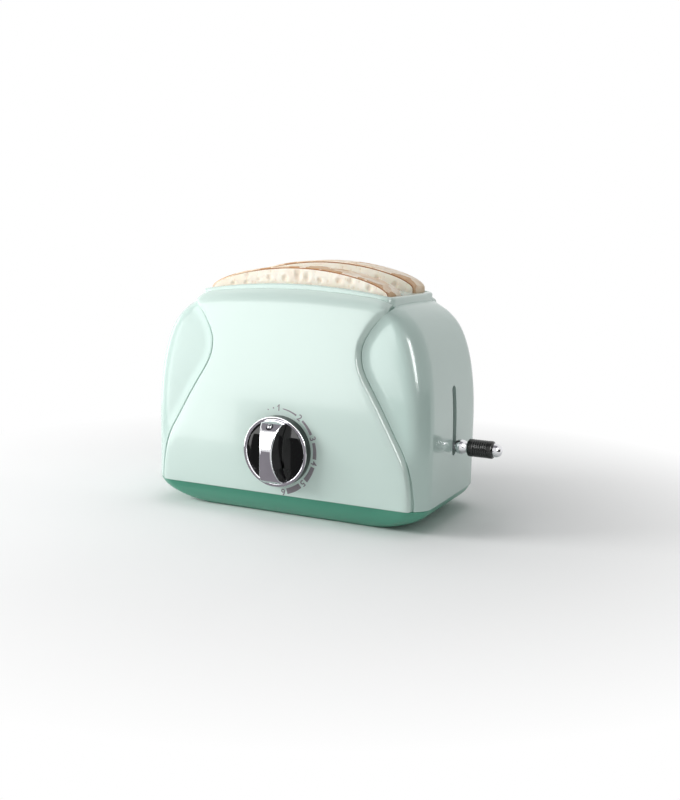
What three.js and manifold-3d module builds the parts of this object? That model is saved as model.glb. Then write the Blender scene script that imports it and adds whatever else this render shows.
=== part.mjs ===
// Toy pop-up toaster with a clockwork timer, in millimetres.
// The underside centre is the origin, +Z is up, the dial faces -Y and the lever is at +X.
import * as THREE from 'three';
import { mergeVertices } from 'three/addons/utils/BufferGeometryUtils.js';
import Module from 'manifold-3d';

const wasm = await Module();
wasm.setup();

// Clearances, and how far a cutting body runs past what it cuts
const restGap = 0.3;
const seamGap = 0.3;
const slideGap = 0.4;
const overrun = 8;

// Body shell: end caps carry the body size, the front and back panels stand proud of them
const bodyLength = 188;
const bodyDepth = 96;
const bodyBottom = 15;
const bodyHeight = 123;
const bodyCorner = 13;
const panelStep = 2;
const shellWall = 2.2;
const panelFlange = 4;
const archDrop = 5;

// Outlines of the body as shares of its half size and of its height
const endCurveShares = [[1, 0.27], [1, 0.65], [0.947, 0.886], [0.702, 0.96]];
const sideCurveShares = [[1, 0.244], [0.99, 0.57], [0.958, 0.79], [0.896, 0.919]];
const crownCurveShares = [[0.896, 0.919], [0.86, 0.985], [0.81, 1], [0.72, 1]];
const lowerStepShares = [0, 1 / 3, 2 / 3];
const upperStepShares = [0, 0.4, 0.72, 1];
const crownStartShare = 0.75;

// Wavy seam between panels and end caps: share of the half length, share of the height
const waveShares = [
  [0.921, -0.1], [0.921, 0], [0.919, 0.055], [0.896, 0.171], [0.853, 0.26], [0.779, 0.362],
  [0.711, 0.455], [0.644, 0.541], [0.581, 0.62], [0.549, 0.677], [0.54, 0.724], [0.547, 0.776],
  [0.578, 0.829], [0.621, 0.88], [0.67, 0.923], [0.702, 0.951], [0.702, 1.2],
];

// Collar round the two bread slots
const rimEndWall = 3.7;
const rimSideWall = 3.5;
const rimTop = 143;
const rimDrop = 5.8;
const rimCorner = 5;
const rimLip = 1.5;
const skirtBottom = 130;
const slotEndGap = 0.8;
const slotSideGap = 1.5;
const dividerWidth = 18;

// Boat-shaped base tray
const trayWall = 3;
const trayFloor = 2.4;
const trayInset = 1.2;
const traySkirtShares = [[0, 0.745, 0.775], [0.3, 0.875, 0.875], [0.65, 0.965, 0.95], [1, 1, 1]];

// Screws that hold the tray to the inner frame
const screwX = 52;
const screwY = 24;
const screwRadius = 1.4;
const screwHeadRadius = 3;
const screwHeadHeight = 2;
const screwHeadDepth = 0.8;
const screwEnd = 24;
const bossRadius = 4.5;
const bossTop = 27;

// Inner frame plate
const frameLength = 180;
const frameDepth = 90;
const frameCorner = 10;
const frameThickness = 2.4;

// Bread slices
const sliceThickness = 19;
const frontSliceRise = 10.3;
const backSliceRise = 12.9;
const sliceShoulder = 61;
const sliceWaist = 57;
const sliceWaistShare = 0.6;
const sliceShoulderShare = 0.87;
const sliceBrowShare = 0.075;
const sliceCrownShare = 0.5;
const sliceFoot = 8;

// Guide cages round the slices
const cageWall = 1.5;
const cageGap = 0.5;
const cageInnerBottom = 72;

// Carriage that carries the slices, with its rods and lift springs
const platformCorner = 2.5;
const carriageBottom = 33;
const carriageThickness = 3;
const carriageLength = 110;
const carriageSideGap = 2;
const carriageTravel = 30;
const bushRadius = 4.5;
const bushHeight = 8;
const rodX = 40;
const rodRadius = 2;
const bridgeLength = 92;
const bridgeWidth = 11;
const bridgeThickness = 4;
const rodTopGap = 1;
const springRadius = 3.6;
const springWire = 0.6;
const springTurns = 6;

// Lever that pushes the carriage down
const leverZ = 47;
const stemThickness = 3;
const stemHeight = 6;
const stemInner = 50;
const stemFootLength = 9;
const tangHeight = 4;
const tangReach = 6;
const leverSlotTop = 84;
const leverSlotBottom = 41;
const leverSlotWidth = 6.4;
const neckGap = 1.2;
const neckLength = 8;
const neckRadius = 4.6;
const neckWaist = 3.2;
const gripLength = 16;
const gripRadius = 5.4;
const gripRound = 1.2;
const tipLength = 5;
const tipRadius = 4.2;
const spigotRadius = 2;
const spigotLength = 5;

// Timer knob
const dialZ = 43;
const knobRadius = 21.5;
const knobDepth = 5.7;
const knobRecess = 2.6;
const knobRimWidth = 2.2;
const knobGripHeight = 12;
const knobWaist = 4.1;
const knobFlare = 7.2;
const inlayThickness = 1;
const inlayGap = 0.2;
const pointerRadius = 1.9;
const pointerHeight = 16.4;
const pointerSink = 0.35;
const spindleHole = 4.5;
const spindleRadius = 3.2;

// Clockwork module behind the dial
const timerPlate = 1.2;
const timerFront = 46.6;
const timerBack = 34.4;
const timerLeftShare = -0.4255;
const timerRightShare = 0.5638;
const timerBottom = 27;
const timerTop = 82;
const timerCorner = 4;
const footLeft = -10;
const footRight = 40;
const pillarRadius = 1.8;
const pillarInset = 4.5;
const arborRadius = 1.5;
const gearModule = 0.95;
const fineModule = 0.75;
const wheelThickness = 1.6;
const pinionThickness = 2;
const mainTeeth = 33;
const secondTeeth = 33;
const thirdTeeth = 24;
const pinionTeeth = 11;
const escapeTeeth = 13;
const escapeRadius = 8;
const escapeDepth = 2.2;
const mainLevel = 39.6;
const rearLevel = 37.2;
const springLevel = 42.1;
const camLevel = 44.4;
const camThickness = 1.4;
const springHeight = 2.6;
const springInnerRadius = 3.4;
const springOuterRadius = 13;
const ribbonThickness = 0.6;
const ribbonTurns = 5;
const secondBearing = 62;
const thirdBearing = 20;
const escapeBearing = -38;
const anchorDrop = 12.6;
const anchorSpread = 6.2;
const anchorWidth = 2.2;
const anchorArm = 7.2;

// Latch: the snail cam swings it out as the knob comes back to its start
const camReach = 17.2;
const camDrop = 2.6;
const knobTravelDegrees = 168;
const latchSwingDegrees = 6;
const latchX = -20;
const latchTop = 60;
const latchWidth = 5;
const latchPinRadius = 1.2;
const latchPinZ = 22.4;
const latchPinEnd = 25.2;
const latchPostRadius = 1.5;
const latchSpringRadius = 2.6;
const latchSpringWire = 0.4;
const latchSpringTurns = 3;
const catchThickness = 1.6;
const catchWidth = 5.3;
const catchFoot = 1.8;
const catchPlane = 28.2;
const windowMargin = 3;

// Sizes worked out from the ones above
const halfLength = bodyLength / 2;
const halfDepth = bodyDepth / 2;
const slotLength = 2 * (Math.max(sliceShoulder, sliceWaist) + slotEndGap);
const slotWidth = sliceThickness + 2 * slotSideGap;
const rimLength = slotLength + 2 * rimEndWall;
const rimDepth = dividerWidth + 2 * (slotWidth + rimSideWall);
const carriageTop = carriageBottom + carriageThickness;
const frontSliceHeight = rimTop + frontSliceRise - carriageTop;
const backSliceHeight = rimTop + backSliceRise - carriageTop;
const frameTop = bodyBottom + frameThickness;
const sliceCentre = dividerWidth / 2 + slotWidth / 2;
const timerLeft = halfLength * timerLeftShare;
const timerRight = halfLength * timerRightShare;
const openingHalfLength = rimLength / 2 - rimLip + restGap;
const openingHalfDepth = rimDepth / 2 - rimLip + restGap;
const cageOuter = dividerWidth / 2 + slotWidth + cageGap + cageWall;
const cageInner = dividerWidth / 2 - cageGap - cageWall;
const cageHalfLength = slotLength / 2 + cageGap / 2 + cageWall;
const panelFace = halfDepth + panelStep;
const knobBack = panelFace + restGap;
const wholeTurn = 2 * Math.PI;

const finishes = {
  mint: { color: 0xbfe0d6, roughness: 0.25, metalness: 0 },
  green: { color: 0x4b9a7e, roughness: 0.3, metalness: 0 },
  chrome: { color: 0xc9cbce, roughness: 0.12, metalness: 1 },
  black: { color: 0x0b0c0b, roughness: 0.15, metalness: 0 },
  steel: { color: 0xa7a9ab, roughness: 0.35, metalness: 1 },
  white: { color: 0xe9e9e4, roughness: 0.5, metalness: 0 },
  bread: { color: 0xf3e3c4, roughness: 0.7, metalness: 0 },
  brass: { color: 0xc6a95a, roughness: 0.3, metalness: 1 },
};

const toaster = new THREE.Group();
toaster.name = 'toaster';

// Shapes and solids

function signedVolume(position, index) {
  let sum = 0;
  const a = new THREE.Vector3();
  const b = new THREE.Vector3();
  const c = new THREE.Vector3();
  for (let i = 0; i < index.count; i += 3) {
    a.fromBufferAttribute(position, index.getX(i));
    b.fromBufferAttribute(position, index.getX(i + 1));
    c.fromBufferAttribute(position, index.getX(i + 2));
    sum += a.dot(b.cross(c));
  }
  return sum;
}

function solidOf(geometry) {
  const bare = geometry.clone();
  bare.deleteAttribute('normal');
  bare.deleteAttribute('uv');
  const welded = mergeVertices(bare);
  const position = welded.getAttribute('position');
  const index = welded.getIndex();
  const order = signedVolume(position, index) < 0 ? [0, 2, 1] : [0, 1, 2];
  const triangles = [];
  for (let i = 0; i < index.count; i += 3) {
    const corners = order.map((step) => index.getX(i + step));
    if (new Set(corners).size === 3) {
      triangles.push(...corners);
    }
  }
  return new wasm.Manifold(new wasm.Mesh({
    numProp: 3,
    vertProperties: new Float32Array(position.array),
    triVerts: new Uint32Array(triangles),
  }));
}

function geometryOf(solid) {
  const mesh = solid.getMesh();
  const geometry = new THREE.BufferGeometry();
  geometry.setAttribute('position', new THREE.BufferAttribute(new Float32Array(mesh.vertProperties), 3));
  geometry.setIndex(new THREE.BufferAttribute(new Uint32Array(mesh.triVerts), 1));
  geometry.computeVertexNormals();
  return geometry;
}

function addPiece(name, solid, finish) {
  const mesh = new THREE.Mesh(geometryOf(solid), new THREE.MeshStandardMaterial(finishes[finish]));
  mesh.name = name;
  toaster.add(mesh);
}

function polygon(points) {
  return new THREE.Shape(points.map(([x, y]) => new THREE.Vector2(x, y)));
}

function roundedRectangle(left, right, bottom, top, radius) {
  const shape = new THREE.Shape();
  shape.moveTo(left + radius, bottom);
  shape.lineTo(right - radius, bottom);
  shape.absarc(right - radius, bottom + radius, radius, -Math.PI / 2, 0);
  shape.lineTo(right, top - radius);
  shape.absarc(right - radius, top - radius, radius, 0, Math.PI / 2);
  shape.lineTo(left + radius, top);
  shape.absarc(left + radius, top - radius, radius, Math.PI / 2, Math.PI);
  shape.lineTo(left, bottom + radius);
  shape.absarc(left + radius, bottom + radius, radius, Math.PI, 1.5 * Math.PI);
  return shape;
}

// A shape drawn in X and Y, raised from one height to another
function upright(shape, bottom, top, curveSegments = 5) {
  const depth = top - bottom;
  const geometry = new THREE.ExtrudeGeometry(shape, { depth, bevelEnabled: false, curveSegments });
  geometry.translate(0, 0, bottom);
  return solidOf(geometry);
}

// A shape drawn in X and Z, run between two values of Y
function crosswise(shape, front, back, curveSegments = 5) {
  const depth = back - front;
  const geometry = new THREE.ExtrudeGeometry(shape, { depth, bevelEnabled: false, curveSegments });
  geometry.rotateX(Math.PI / 2);
  geometry.translate(0, back, 0);
  return solidOf(geometry);
}

function block(left, right, front, back, bottom, top) {
  const geometry = new THREE.BoxGeometry(right - left, back - front, top - bottom);
  geometry.translate((left + right) / 2, (front + back) / 2, (bottom + top) / 2);
  return solidOf(geometry);
}

// Turned bodies: the profile gives radius and place along the axis
function turned(profile, segments) {
  return new THREE.LatheGeometry(profile.map(([x, y]) => new THREE.Vector2(x, y)), segments);
}

function turnedUpright(profile, x, y, segments = 20) {
  const geometry = turned(profile, segments);
  geometry.rotateX(Math.PI / 2);
  geometry.translate(x, y, 0);
  return solidOf(geometry);
}

function turnedAlongDepth(profile, x, z, segments = 20) {
  const geometry = turned(profile, segments);
  geometry.translate(x, 0, z);
  return solidOf(geometry);
}

function turnedAlongLength(profile, z, segments = 20) {
  const geometry = turned(profile, segments);
  geometry.rotateZ(-Math.PI / 2);
  geometry.translate(0, 0, z);
  return solidOf(geometry);
}

function rodUpright(radius, x, y, bottom, top, segments = 12) {
  return turnedUpright([[0, bottom], [radius, bottom], [radius, top], [0, top]], x, y, segments);
}

function rodAlongDepth(radius, x, z, front, back, segments = 12) {
  return turnedAlongDepth([[0, front], [radius, front], [radius, back], [0, back]], x, z, segments);
}

// Rounded rectangular ring of the body, arched along its length
const ringFlatSteps = 5;
const ringCornerSteps = 5;

function bodyRing(reach, depth, corner, endZ, middleZ) {
  const quarter = [];
  for (let i = 0; i <= ringFlatSteps; i += 1) {
    quarter.push([(reach - corner) * (i / ringFlatSteps), depth]);
  }
  for (let i = 1; i <= ringCornerSteps; i += 1) {
    const angle = (Math.PI / 2) * (i / ringCornerSteps);
    quarter.push([reach - corner + corner * Math.sin(angle), depth - corner + corner * Math.cos(angle)]);
  }
  quarter.push([reach, 0]);
  const back = [...quarter].reverse();
  const plan = [
    ...back.slice(0, -1),
    ...quarter.slice(0, -1).map(([x, y]) => [-x, y]),
    ...back.slice(0, -1).map(([x, y]) => [-x, -y]),
    ...quarter.slice(0, -1).map(([x, y]) => [x, -y]),
  ];
  return plan.map(([x, y]) => [x, y, middleZ - (middleZ - endZ) * (x / reach) ** 2]);
}

// Closed body through rings of equal count, from the lowest to the highest
function loft(rings) {
  const count = rings[0].length;
  const vertices = rings.flat();
  const index = [];
  for (let r = 0; r + 1 < rings.length; r += 1) {
    for (let i = 0; i < count; i += 1) {
      const a = r * count + i;
      const b = r * count + ((i + 1) % count);
      index.push(a, b, b + count, a, b + count, a + count);
    }
  }
  const bottomCentre = vertices.length;
  const topCentre = bottomCentre + 1;
  const topStart = (rings.length - 1) * count;
  vertices.push([0, 0, Math.min(...rings[0].map((point) => point[2]))]);
  vertices.push([0, 0, Math.max(...rings[rings.length - 1].map((point) => point[2]))]);
  for (let i = 0; i < count; i += 1) {
    const next = (i + 1) % count;
    index.push(bottomCentre, next, i, topCentre, topStart + i, topStart + next);
  }
  const geometry = new THREE.BufferGeometry();
  geometry.setAttribute('position', new THREE.Float32BufferAttribute(vertices.flat(), 3));
  geometry.setIndex(index);
  return solidOf(geometry);
}

function sampleCurve(shares, t) {
  const [a, b, c, d] = shares.map(([x, y]) => new THREE.Vector2(x, y));
  const point = new THREE.CubicBezierCurve(a, b, c, d).getPoint(t);
  return [point.x, point.y];
}

// The body's outer form, grown outwards or, with a negative value, inwards
function bodyForm(grow, bottom) {
  const rows = [];
  for (const share of lowerStepShares) {
    rows.push([share * crownStartShare, sampleCurve(sideCurveShares, share)]);
  }
  for (const share of upperStepShares) {
    rows.push([crownStartShare + (1 - crownStartShare) * share, sampleCurve(crownCurveShares, share)]);
  }
  const corner = bodyCorner + grow;
  const rings = [bodyRing(halfLength + grow, halfDepth + grow, corner, bottom, bottom)];
  for (const [t, [depthShare, middleShare]] of rows) {
    const [reachShare, endShare] = sampleCurve(endCurveShares, t);
    const lift = t ** 3 * grow;
    rings.push(bodyRing(
      halfLength * reachShare + grow,
      halfDepth * depthShare + grow,
      corner,
      bodyBottom + bodyHeight * endShare + lift,
      bodyBottom + bodyHeight * middleShare + lift,
    ));
  }
  return loft(rings);
}

// Region of the front and back panels, as a cut through the whole depth
function waveZone(inset) {
  const right = waveShares.map(([x, z]) => [halfLength * x - inset, bodyBottom + bodyHeight * z]);
  const left = [...right].reverse().map(([x, z]) => [-x, z]);
  return polygon([...right, ...left]);
}

// Shell pieces

const outerForm = bodyForm(panelStep, bodyBottom);
const capForm = bodyForm(0, bodyBottom);
const cavity = bodyForm(-shellWall, bodyBottom - overrun);
const panelCavity = bodyForm(panelStep - shellWall, bodyBottom - overrun);
const farDepth = halfDepth + panelStep + overrun;

function makePanel(side) {
  const edges = side < 0 ? [-farDepth, -openingHalfDepth] : [openingHalfDepth, farDepth];
  const zone = crosswise(waveZone(seamGap / 2), ...edges);
  const core = crosswise(waveZone(panelFlange), ...edges);
  const skin = outerForm.subtract(panelCavity).intersect(zone);
  const flange = outerForm.subtract(cavity).intersect(zone.subtract(core));
  return skin.add(flange);
}

function makeCap(side) {
  const half = side < 0
    ? block(-farDepth - bodyLength, 0, -farDepth, farDepth, -overrun, rimTop + overrun)
    : block(0, farDepth + bodyLength, -farDepth, farDepth, -overrun, rimTop + overrun);
  const opening = block(
    -openingHalfLength, openingHalfLength,
    -openingHalfDepth, openingHalfDepth,
    skirtBottom - overrun, rimTop + overrun,
  );
  const zone = waveZone(-seamGap / 2);
  const frontZone = crosswise(zone, -farDepth, -openingHalfDepth + seamGap);
  const backZone = crosswise(zone, openingHalfDepth - seamGap, farDepth);
  return capForm.subtract(cavity).subtract(opening).subtract(frontZone).subtract(backZone).intersect(half);
}

const spindleBore = rodAlongDepth(spindleHole, 0, dialZ, -farDepth, 0, 24);
const leverSlot = crosswise(
  roundedRectangle(
    -leverSlotWidth / 2, leverSlotWidth / 2, leverSlotBottom, leverSlotTop, leverSlotWidth / 2.2,
  ),
  0, farDepth + bodyLength,
).rotate([0, 0, -90]);

addPiece('front_panel', makePanel(-1).subtract(spindleBore), 'mint');
addPiece('back_panel', makePanel(1), 'mint');
addPiece('left_end_cap', makeCap(-1), 'mint');
addPiece('right_end_cap', makeCap(1).subtract(leverSlot), 'mint');

// Collar with its skirt through the crown and its lip over the shell

function archedBlock(reach, depth, corner, bottom) {
  const steps = ringFlatSteps * 3;
  const profile = [[reach + overrun, bottom], [-reach - overrun, bottom]];
  for (let i = 0; i <= steps; i += 1) {
    const x = (reach + overrun) * (2 * (i / steps) - 1);
    profile.push([x, rimTop - rimDrop * (x / (rimLength / 2)) ** 2]);
  }
  const arch = crosswise(polygon(profile), -farDepth, farDepth);
  const plan = upright(roundedRectangle(-reach, reach, -depth, depth, corner), bottom, rimTop + overrun, 4);
  return arch.intersect(plan);
}

function makeRim() {
  const lip = archedBlock(rimLength / 2, rimDepth / 2, rimCorner, skirtBottom - archDrop);
  const crown = bodyForm(panelStep + restGap / 2, bodyBottom);
  const ends = bodyForm(restGap / 2, bodyBottom);
  const zone = waveZone(0);
  const nearStrip = crosswise(zone, -farDepth, -openingHalfDepth);
  const strips = nearStrip.add(crosswise(zone, openingHalfDepth, farDepth));
  const overShell = lip.subtract(crown.intersect(strips)).subtract(ends);
  const skirt = archedBlock(
    rimLength / 2 - rimLip, rimDepth / 2 - rimLip, rimCorner - rimLip, skirtBottom,
  );
  const slots = [-1, 1].map((side) => block(
    -slotLength / 2, slotLength / 2,
    side * sliceCentre - slotWidth / 2, side * sliceCentre + slotWidth / 2,
    skirtBottom - overrun, rimTop + overrun,
  ));
  return overShell.add(skirt).subtract(slots[0]).subtract(slots[1]);
}

addPiece('slot_rim', makeRim(), 'mint');

// Base tray with screw posts

const screwPlaces = [[-1, -1], [1, -1], [-1, 1], [1, 1]].map(([x, y]) => [x * screwX, y * screwY]);

function trayForm(inset, floor) {
  const reach = halfLength - trayInset - inset;
  const depth = halfDepth + trayInset / 3 - inset;
  const corner = bodyCorner - inset / 2;
  return loft(traySkirtShares.map(([heightShare, reachShare, depthShare]) => {
    const z = heightShare === 0 ? floor : bodyBottom * heightShare;
    return bodyRing(reach * reachShare, depth * depthShare, corner, z, z);
  }));
}

function makeTray() {
  const hollow = trayForm(trayWall, trayFloor);
  const inside = hollow.add(hollow.translate([0, 0, overrun / 4]));
  let tray = trayForm(0, 0).subtract(inside);
  for (const [x, y] of screwPlaces) {
    tray = tray.add(rodUpright(bossRadius, x, y, trayFloor / 2, bodyBottom));
  }
  for (const [x, y] of screwPlaces) {
    tray = tray
      .subtract(rodUpright(screwRadius + restGap, x, y, -overrun, bodyBottom + overrun))
      .subtract(rodUpright(screwHeadRadius + restGap, x, y, -overrun, screwHeadDepth + screwHeadHeight));
  }
  return tray;
}

addPiece('base_tray', makeTray(), 'green');

screwPlaces.forEach(([x, y], i) => {
  const seat = screwHeadDepth + screwHeadHeight;
  addPiece(`base_screw_${i + 1}`, turnedUpright([
    [0, screwHeadDepth],
    [screwHeadRadius * 0.8, screwHeadDepth],
    [screwHeadRadius, (screwHeadDepth + seat) / 2],
    [screwHeadRadius, seat], [screwRadius, seat], [screwRadius, screwEnd - screwRadius], [0, screwEnd],
  ], x, y, 12), 'steel');
});

// Inner frame plate that carries cages, rods and timer

function makeFrame() {
  const outline = roundedRectangle(
    -frameLength / 2, frameLength / 2, -frameDepth / 2, frameDepth / 2, frameCorner,
  );
  let frame = upright(outline, bodyBottom, frameTop);
  for (const [x, y] of screwPlaces) {
    frame = frame.add(rodUpright(bossRadius, x, y, bodyBottom, bossTop));
  }
  for (const [x, y] of screwPlaces) {
    frame = frame.subtract(rodUpright(screwRadius + restGap, x, y, -overrun, screwEnd + restGap));
  }
  return frame;
}

addPiece('inner_frame', makeFrame(), 'white');

// Bread cages

function makeCage(side) {
  const near = Math.min(side * cageInner, side * cageOuter);
  const far = Math.max(side * cageInner, side * cageOuter);
  const reach = cageHalfLength;
  const outer = block(-reach, reach, near, far, frameTop, skirtBottom);
  const inner = block(
    -reach + cageWall, reach - cageWall, near + cageWall, far - cageWall, 0, skirtBottom + overrun,
  );
  const inside = side * (cageInner + cageWall + cageGap);
  const below = block(
    -reach + cageWall, reach - cageWall, Math.min(0, inside), Math.max(0, inside), 0, cageInnerBottom,
  );
  return outer.subtract(inner).subtract(below);
}

const pinWindow = block(
  latchX - latchWidth - windowMargin, latchX + latchWidth / 2 + windowMargin,
  -cageOuter - overrun / 2, -cageOuter + cageWall + overrun / 4,
  0, latchPinZ + windowMargin + latchPinRadius,
);
addPiece('bread_cage_front', makeCage(-1).subtract(pinWindow), 'white');
addPiece('bread_cage_back', makeCage(1), 'white');

// Guide rods and the bridge that joins their upper ends

const bridgeBottom = skirtBottom - bridgeThickness;
let bridge = upright(
  roundedRectangle(-bridgeLength / 2, bridgeLength / 2, -bridgeWidth / 2, bridgeWidth / 2, bridgeWidth / 4),
  bridgeBottom, skirtBottom,
);
for (const side of [-1, 1]) {
  bridge = bridge.subtract(rodUpright(
    rodRadius + restGap, side * rodX, 0, bridgeBottom - overrun, skirtBottom - rodTopGap + restGap,
  ));
  addPiece(
    side < 0 ? 'guide_rod_left' : 'guide_rod_right',
    rodUpright(rodRadius, side * rodX, 0, frameTop, skirtBottom - rodTopGap), 'steel',
  );
}
addPiece('rod_bridge', bridge, 'white');

// Carriage with a platform for each slice

const platformHalf = cageOuter - cageWall - carriageSideGap;

function makeCarriage() {
  const reach = carriageLength / 2;
  const plan = roundedRectangle(-reach, reach, -platformHalf, platformHalf, platformCorner);
  for (const side of [-1, 1]) {
    for (const place of [-1, 0, 1]) {
      const middle = place * reach * 0.6;
      const half = reach * 0.22;
      const centre = side * sliceCentre;
      const across = sliceThickness / 4;
      plan.holes.push(roundedRectangle(
        middle - half, middle + half, centre - across, centre + across, platformCorner / 2,
      ));
    }
  }
  let carriage = upright(plan, carriageBottom, carriageTop, 2);
  for (const side of [-1, 1]) {
    const bush = rodUpright(bushRadius, side * rodX, 0, carriageBottom, carriageTop + bushHeight);
    carriage = carriage.add(bush);
  }
  for (const side of [-1, 1]) {
    carriage = carriage.subtract(rodUpright(rodRadius + slideGap, side * rodX, 0, 0, rimTop));
  }
  return carriage;
}

addPiece('carriage', makeCarriage(), 'white');

// Lift springs, one unbroken coil round each rod

class Helix extends THREE.Curve {
  constructor(radius, bottom, top, turns) {
    super();
    Object.assign(this, { radius, bottom, top, turns });
  }

  getPoint(t) {
    const angle = wholeTurn * this.turns * t;
    return new THREE.Vector3(
      this.radius * Math.cos(angle),
      this.radius * Math.sin(angle),
      this.bottom + (this.top - this.bottom) * t,
    );
  }
}

const coilSteps = 8;
const wireSides = 5;

function wirePiece(curve, wire, steps) {
  const corners = [];
  for (let i = 0; i < wireSides; i += 1) {
    const angle = wholeTurn * (i / wireSides);
    corners.push([wire * Math.cos(angle), wire * Math.sin(angle)]);
  }
  return new THREE.ExtrudeGeometry(polygon(corners), { steps, bevelEnabled: false, extrudePath: curve });
}

for (const side of [-1, 1]) {
  const coil = wirePiece(
    new Helix(
      springRadius, frameTop + restGap + springWire, carriageBottom - restGap - springWire, springTurns,
    ),
    springWire, springTurns * coilSteps,
  );
  coil.translate(side * rodX, 0, 0);
  addPiece(side < 0 ? 'lift_spring_left' : 'lift_spring_right', solidOf(coil), 'steel');
}

// Lever: stem through the end cap, neck, grip and tip

const neckStart = halfLength + neckGap;
const gripStart = neckStart + neckLength;
const tipStart = gripStart + gripLength;
const tangEnd = neckStart + tangReach;

addPiece('lever_stem', crosswise(polygon([
  [stemInner, carriageTop], [stemInner + stemFootLength, carriageTop],
  [stemInner + stemFootLength, leverZ - stemHeight / 2], [halfLength - overrun, leverZ - stemHeight / 2],
  [halfLength - overrun, leverZ - tangHeight / 2], [tangEnd, leverZ - tangHeight / 2],
  [tangEnd, leverZ + tangHeight / 2], [halfLength - overrun, leverZ + tangHeight / 2],
  [halfLength - overrun, leverZ + stemHeight / 2], [stemInner, leverZ + stemHeight / 2],
]), -stemThickness / 2, stemThickness / 2), 'steel');

const neckForm = turnedAlongLength([
  [0, neckStart], [neckWaist, neckStart], [neckRadius * 0.92, neckStart + neckLength * 0.2],
  [neckRadius, neckStart + neckLength * 0.42], [neckRadius * 0.88, neckStart + neckLength * 0.66],
  [neckWaist, neckStart + neckLength * 0.86], [neckWaist, gripStart],
  [spigotRadius, gripStart], [spigotRadius, gripStart + spigotLength], [0, gripStart + spigotLength],
], leverZ);
addPiece('lever_neck', neckForm.subtract(block(
  0, tangEnd + restGap,
  -stemThickness / 2 - restGap, stemThickness / 2 + restGap,
  leverZ - tangHeight / 2 - restGap, leverZ + tangHeight / 2 + restGap,
)), 'chrome');

function gripSocket(start, end) {
  return turnedAlongLength([
    [0, start], [spigotRadius + restGap / 2, start], [spigotRadius + restGap / 2, end], [0, end],
  ], leverZ, 16);
}

addPiece('lever_grip', turnedAlongLength([
  [0, gripStart], [gripRadius - gripRound, gripStart], [gripRadius, gripStart + gripRound],
  [gripRadius, tipStart - gripRound], [gripRadius - gripRound, tipStart], [0, tipStart],
], leverZ, 24)
  .subtract(gripSocket(gripStart - overrun, gripStart + spigotLength + restGap))
  .subtract(gripSocket(tipStart - spigotLength - restGap, tipStart + overrun)), 'black');

addPiece('lever_tip', turnedAlongLength([
  [0, tipStart - spigotLength], [spigotRadius, tipStart - spigotLength], [spigotRadius, tipStart],
  [tipRadius, tipStart],
  [tipRadius, tipStart + tipLength * 0.3],
  [tipRadius * 0.88, tipStart + tipLength * 0.7],
  [tipRadius * 0.5, tipStart + tipLength * 0.95], [0, tipStart + tipLength],
], leverZ), 'chrome');

// Bread slices

function sliceOutline(height) {
  const outline = new THREE.Shape();
  const bottom = carriageTop;
  const waistZ = bottom + height * sliceWaistShare;
  const shoulderZ = bottom + height * sliceShoulderShare;
  const bendZ = (waistZ + shoulderZ) / 2;
  const top = bottom + height;
  const browZ = top - height * sliceBrowShare;
  const crownX = sliceShoulder * sliceCrownShare;
  outline.moveTo(-sliceWaist + sliceFoot, bottom);
  outline.lineTo(sliceWaist - sliceFoot, bottom);
  outline.quadraticCurveTo(sliceWaist, bottom, sliceWaist, bottom + sliceFoot);
  outline.lineTo(sliceWaist, waistZ);
  outline.bezierCurveTo(sliceWaist, bendZ, sliceShoulder, bendZ, sliceShoulder, shoulderZ);
  outline.bezierCurveTo(sliceShoulder, browZ, crownX, top, 0, top);
  outline.bezierCurveTo(-crownX, top, -sliceShoulder, browZ, -sliceShoulder, shoulderZ);
  outline.bezierCurveTo(-sliceShoulder, bendZ, -sliceWaist, bendZ, -sliceWaist, waistZ);
  outline.lineTo(-sliceWaist, bottom + sliceFoot);
  outline.quadraticCurveTo(-sliceWaist, bottom, -sliceWaist + sliceFoot, bottom);
  return outline;
}

function addSlice(name, height, centre) {
  const near = centre - sliceThickness / 2;
  const far = centre + sliceThickness / 2;
  addPiece(name, crosswise(sliceOutline(height), near, far, 7), 'bread');
}

addSlice('bread_slice_front', frontSliceHeight, -sliceCentre);
addSlice('bread_slice_back', backSliceHeight, sliceCentre);

// Timer knob: disc with a waisted grip bar between two lens-shaped recesses

const knobFace = knobBack + knobDepth;
const recessFloor = knobFace - knobRecess;
const recessRadius = knobRadius - knobRimWidth;

// The right-hand recess outline: a circle cut by the concave side of the grip bar
function recessOutline(shrink) {
  const radius = recessRadius - shrink;
  const bulge = knobFlare - knobWaist;
  const tip = Math.sqrt(radius ** 2 - knobFlare ** 2);
  const points = [];
  const steps = 14;
  const start = Math.asin(tip / radius);
  for (let i = 0; i <= steps; i += 1) {
    const angle = start - 2 * start * (i / steps);
    points.push([radius * Math.cos(angle), radius * Math.sin(angle)]);
  }
  for (let i = 1; i < steps; i += 1) {
    const height = 2 * (i / steps) - 1;
    points.push([knobFlare - bulge * (1 - height ** 2) + shrink, tip * height]);
  }
  return points;
}

function recessBody(side, shrink, front, back) {
  const points = recessOutline(shrink).map(([x, z]) => [side * x, dialZ + z]);
  return crosswise(polygon(side < 0 ? points.reverse() : points), front, back);
}

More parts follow.
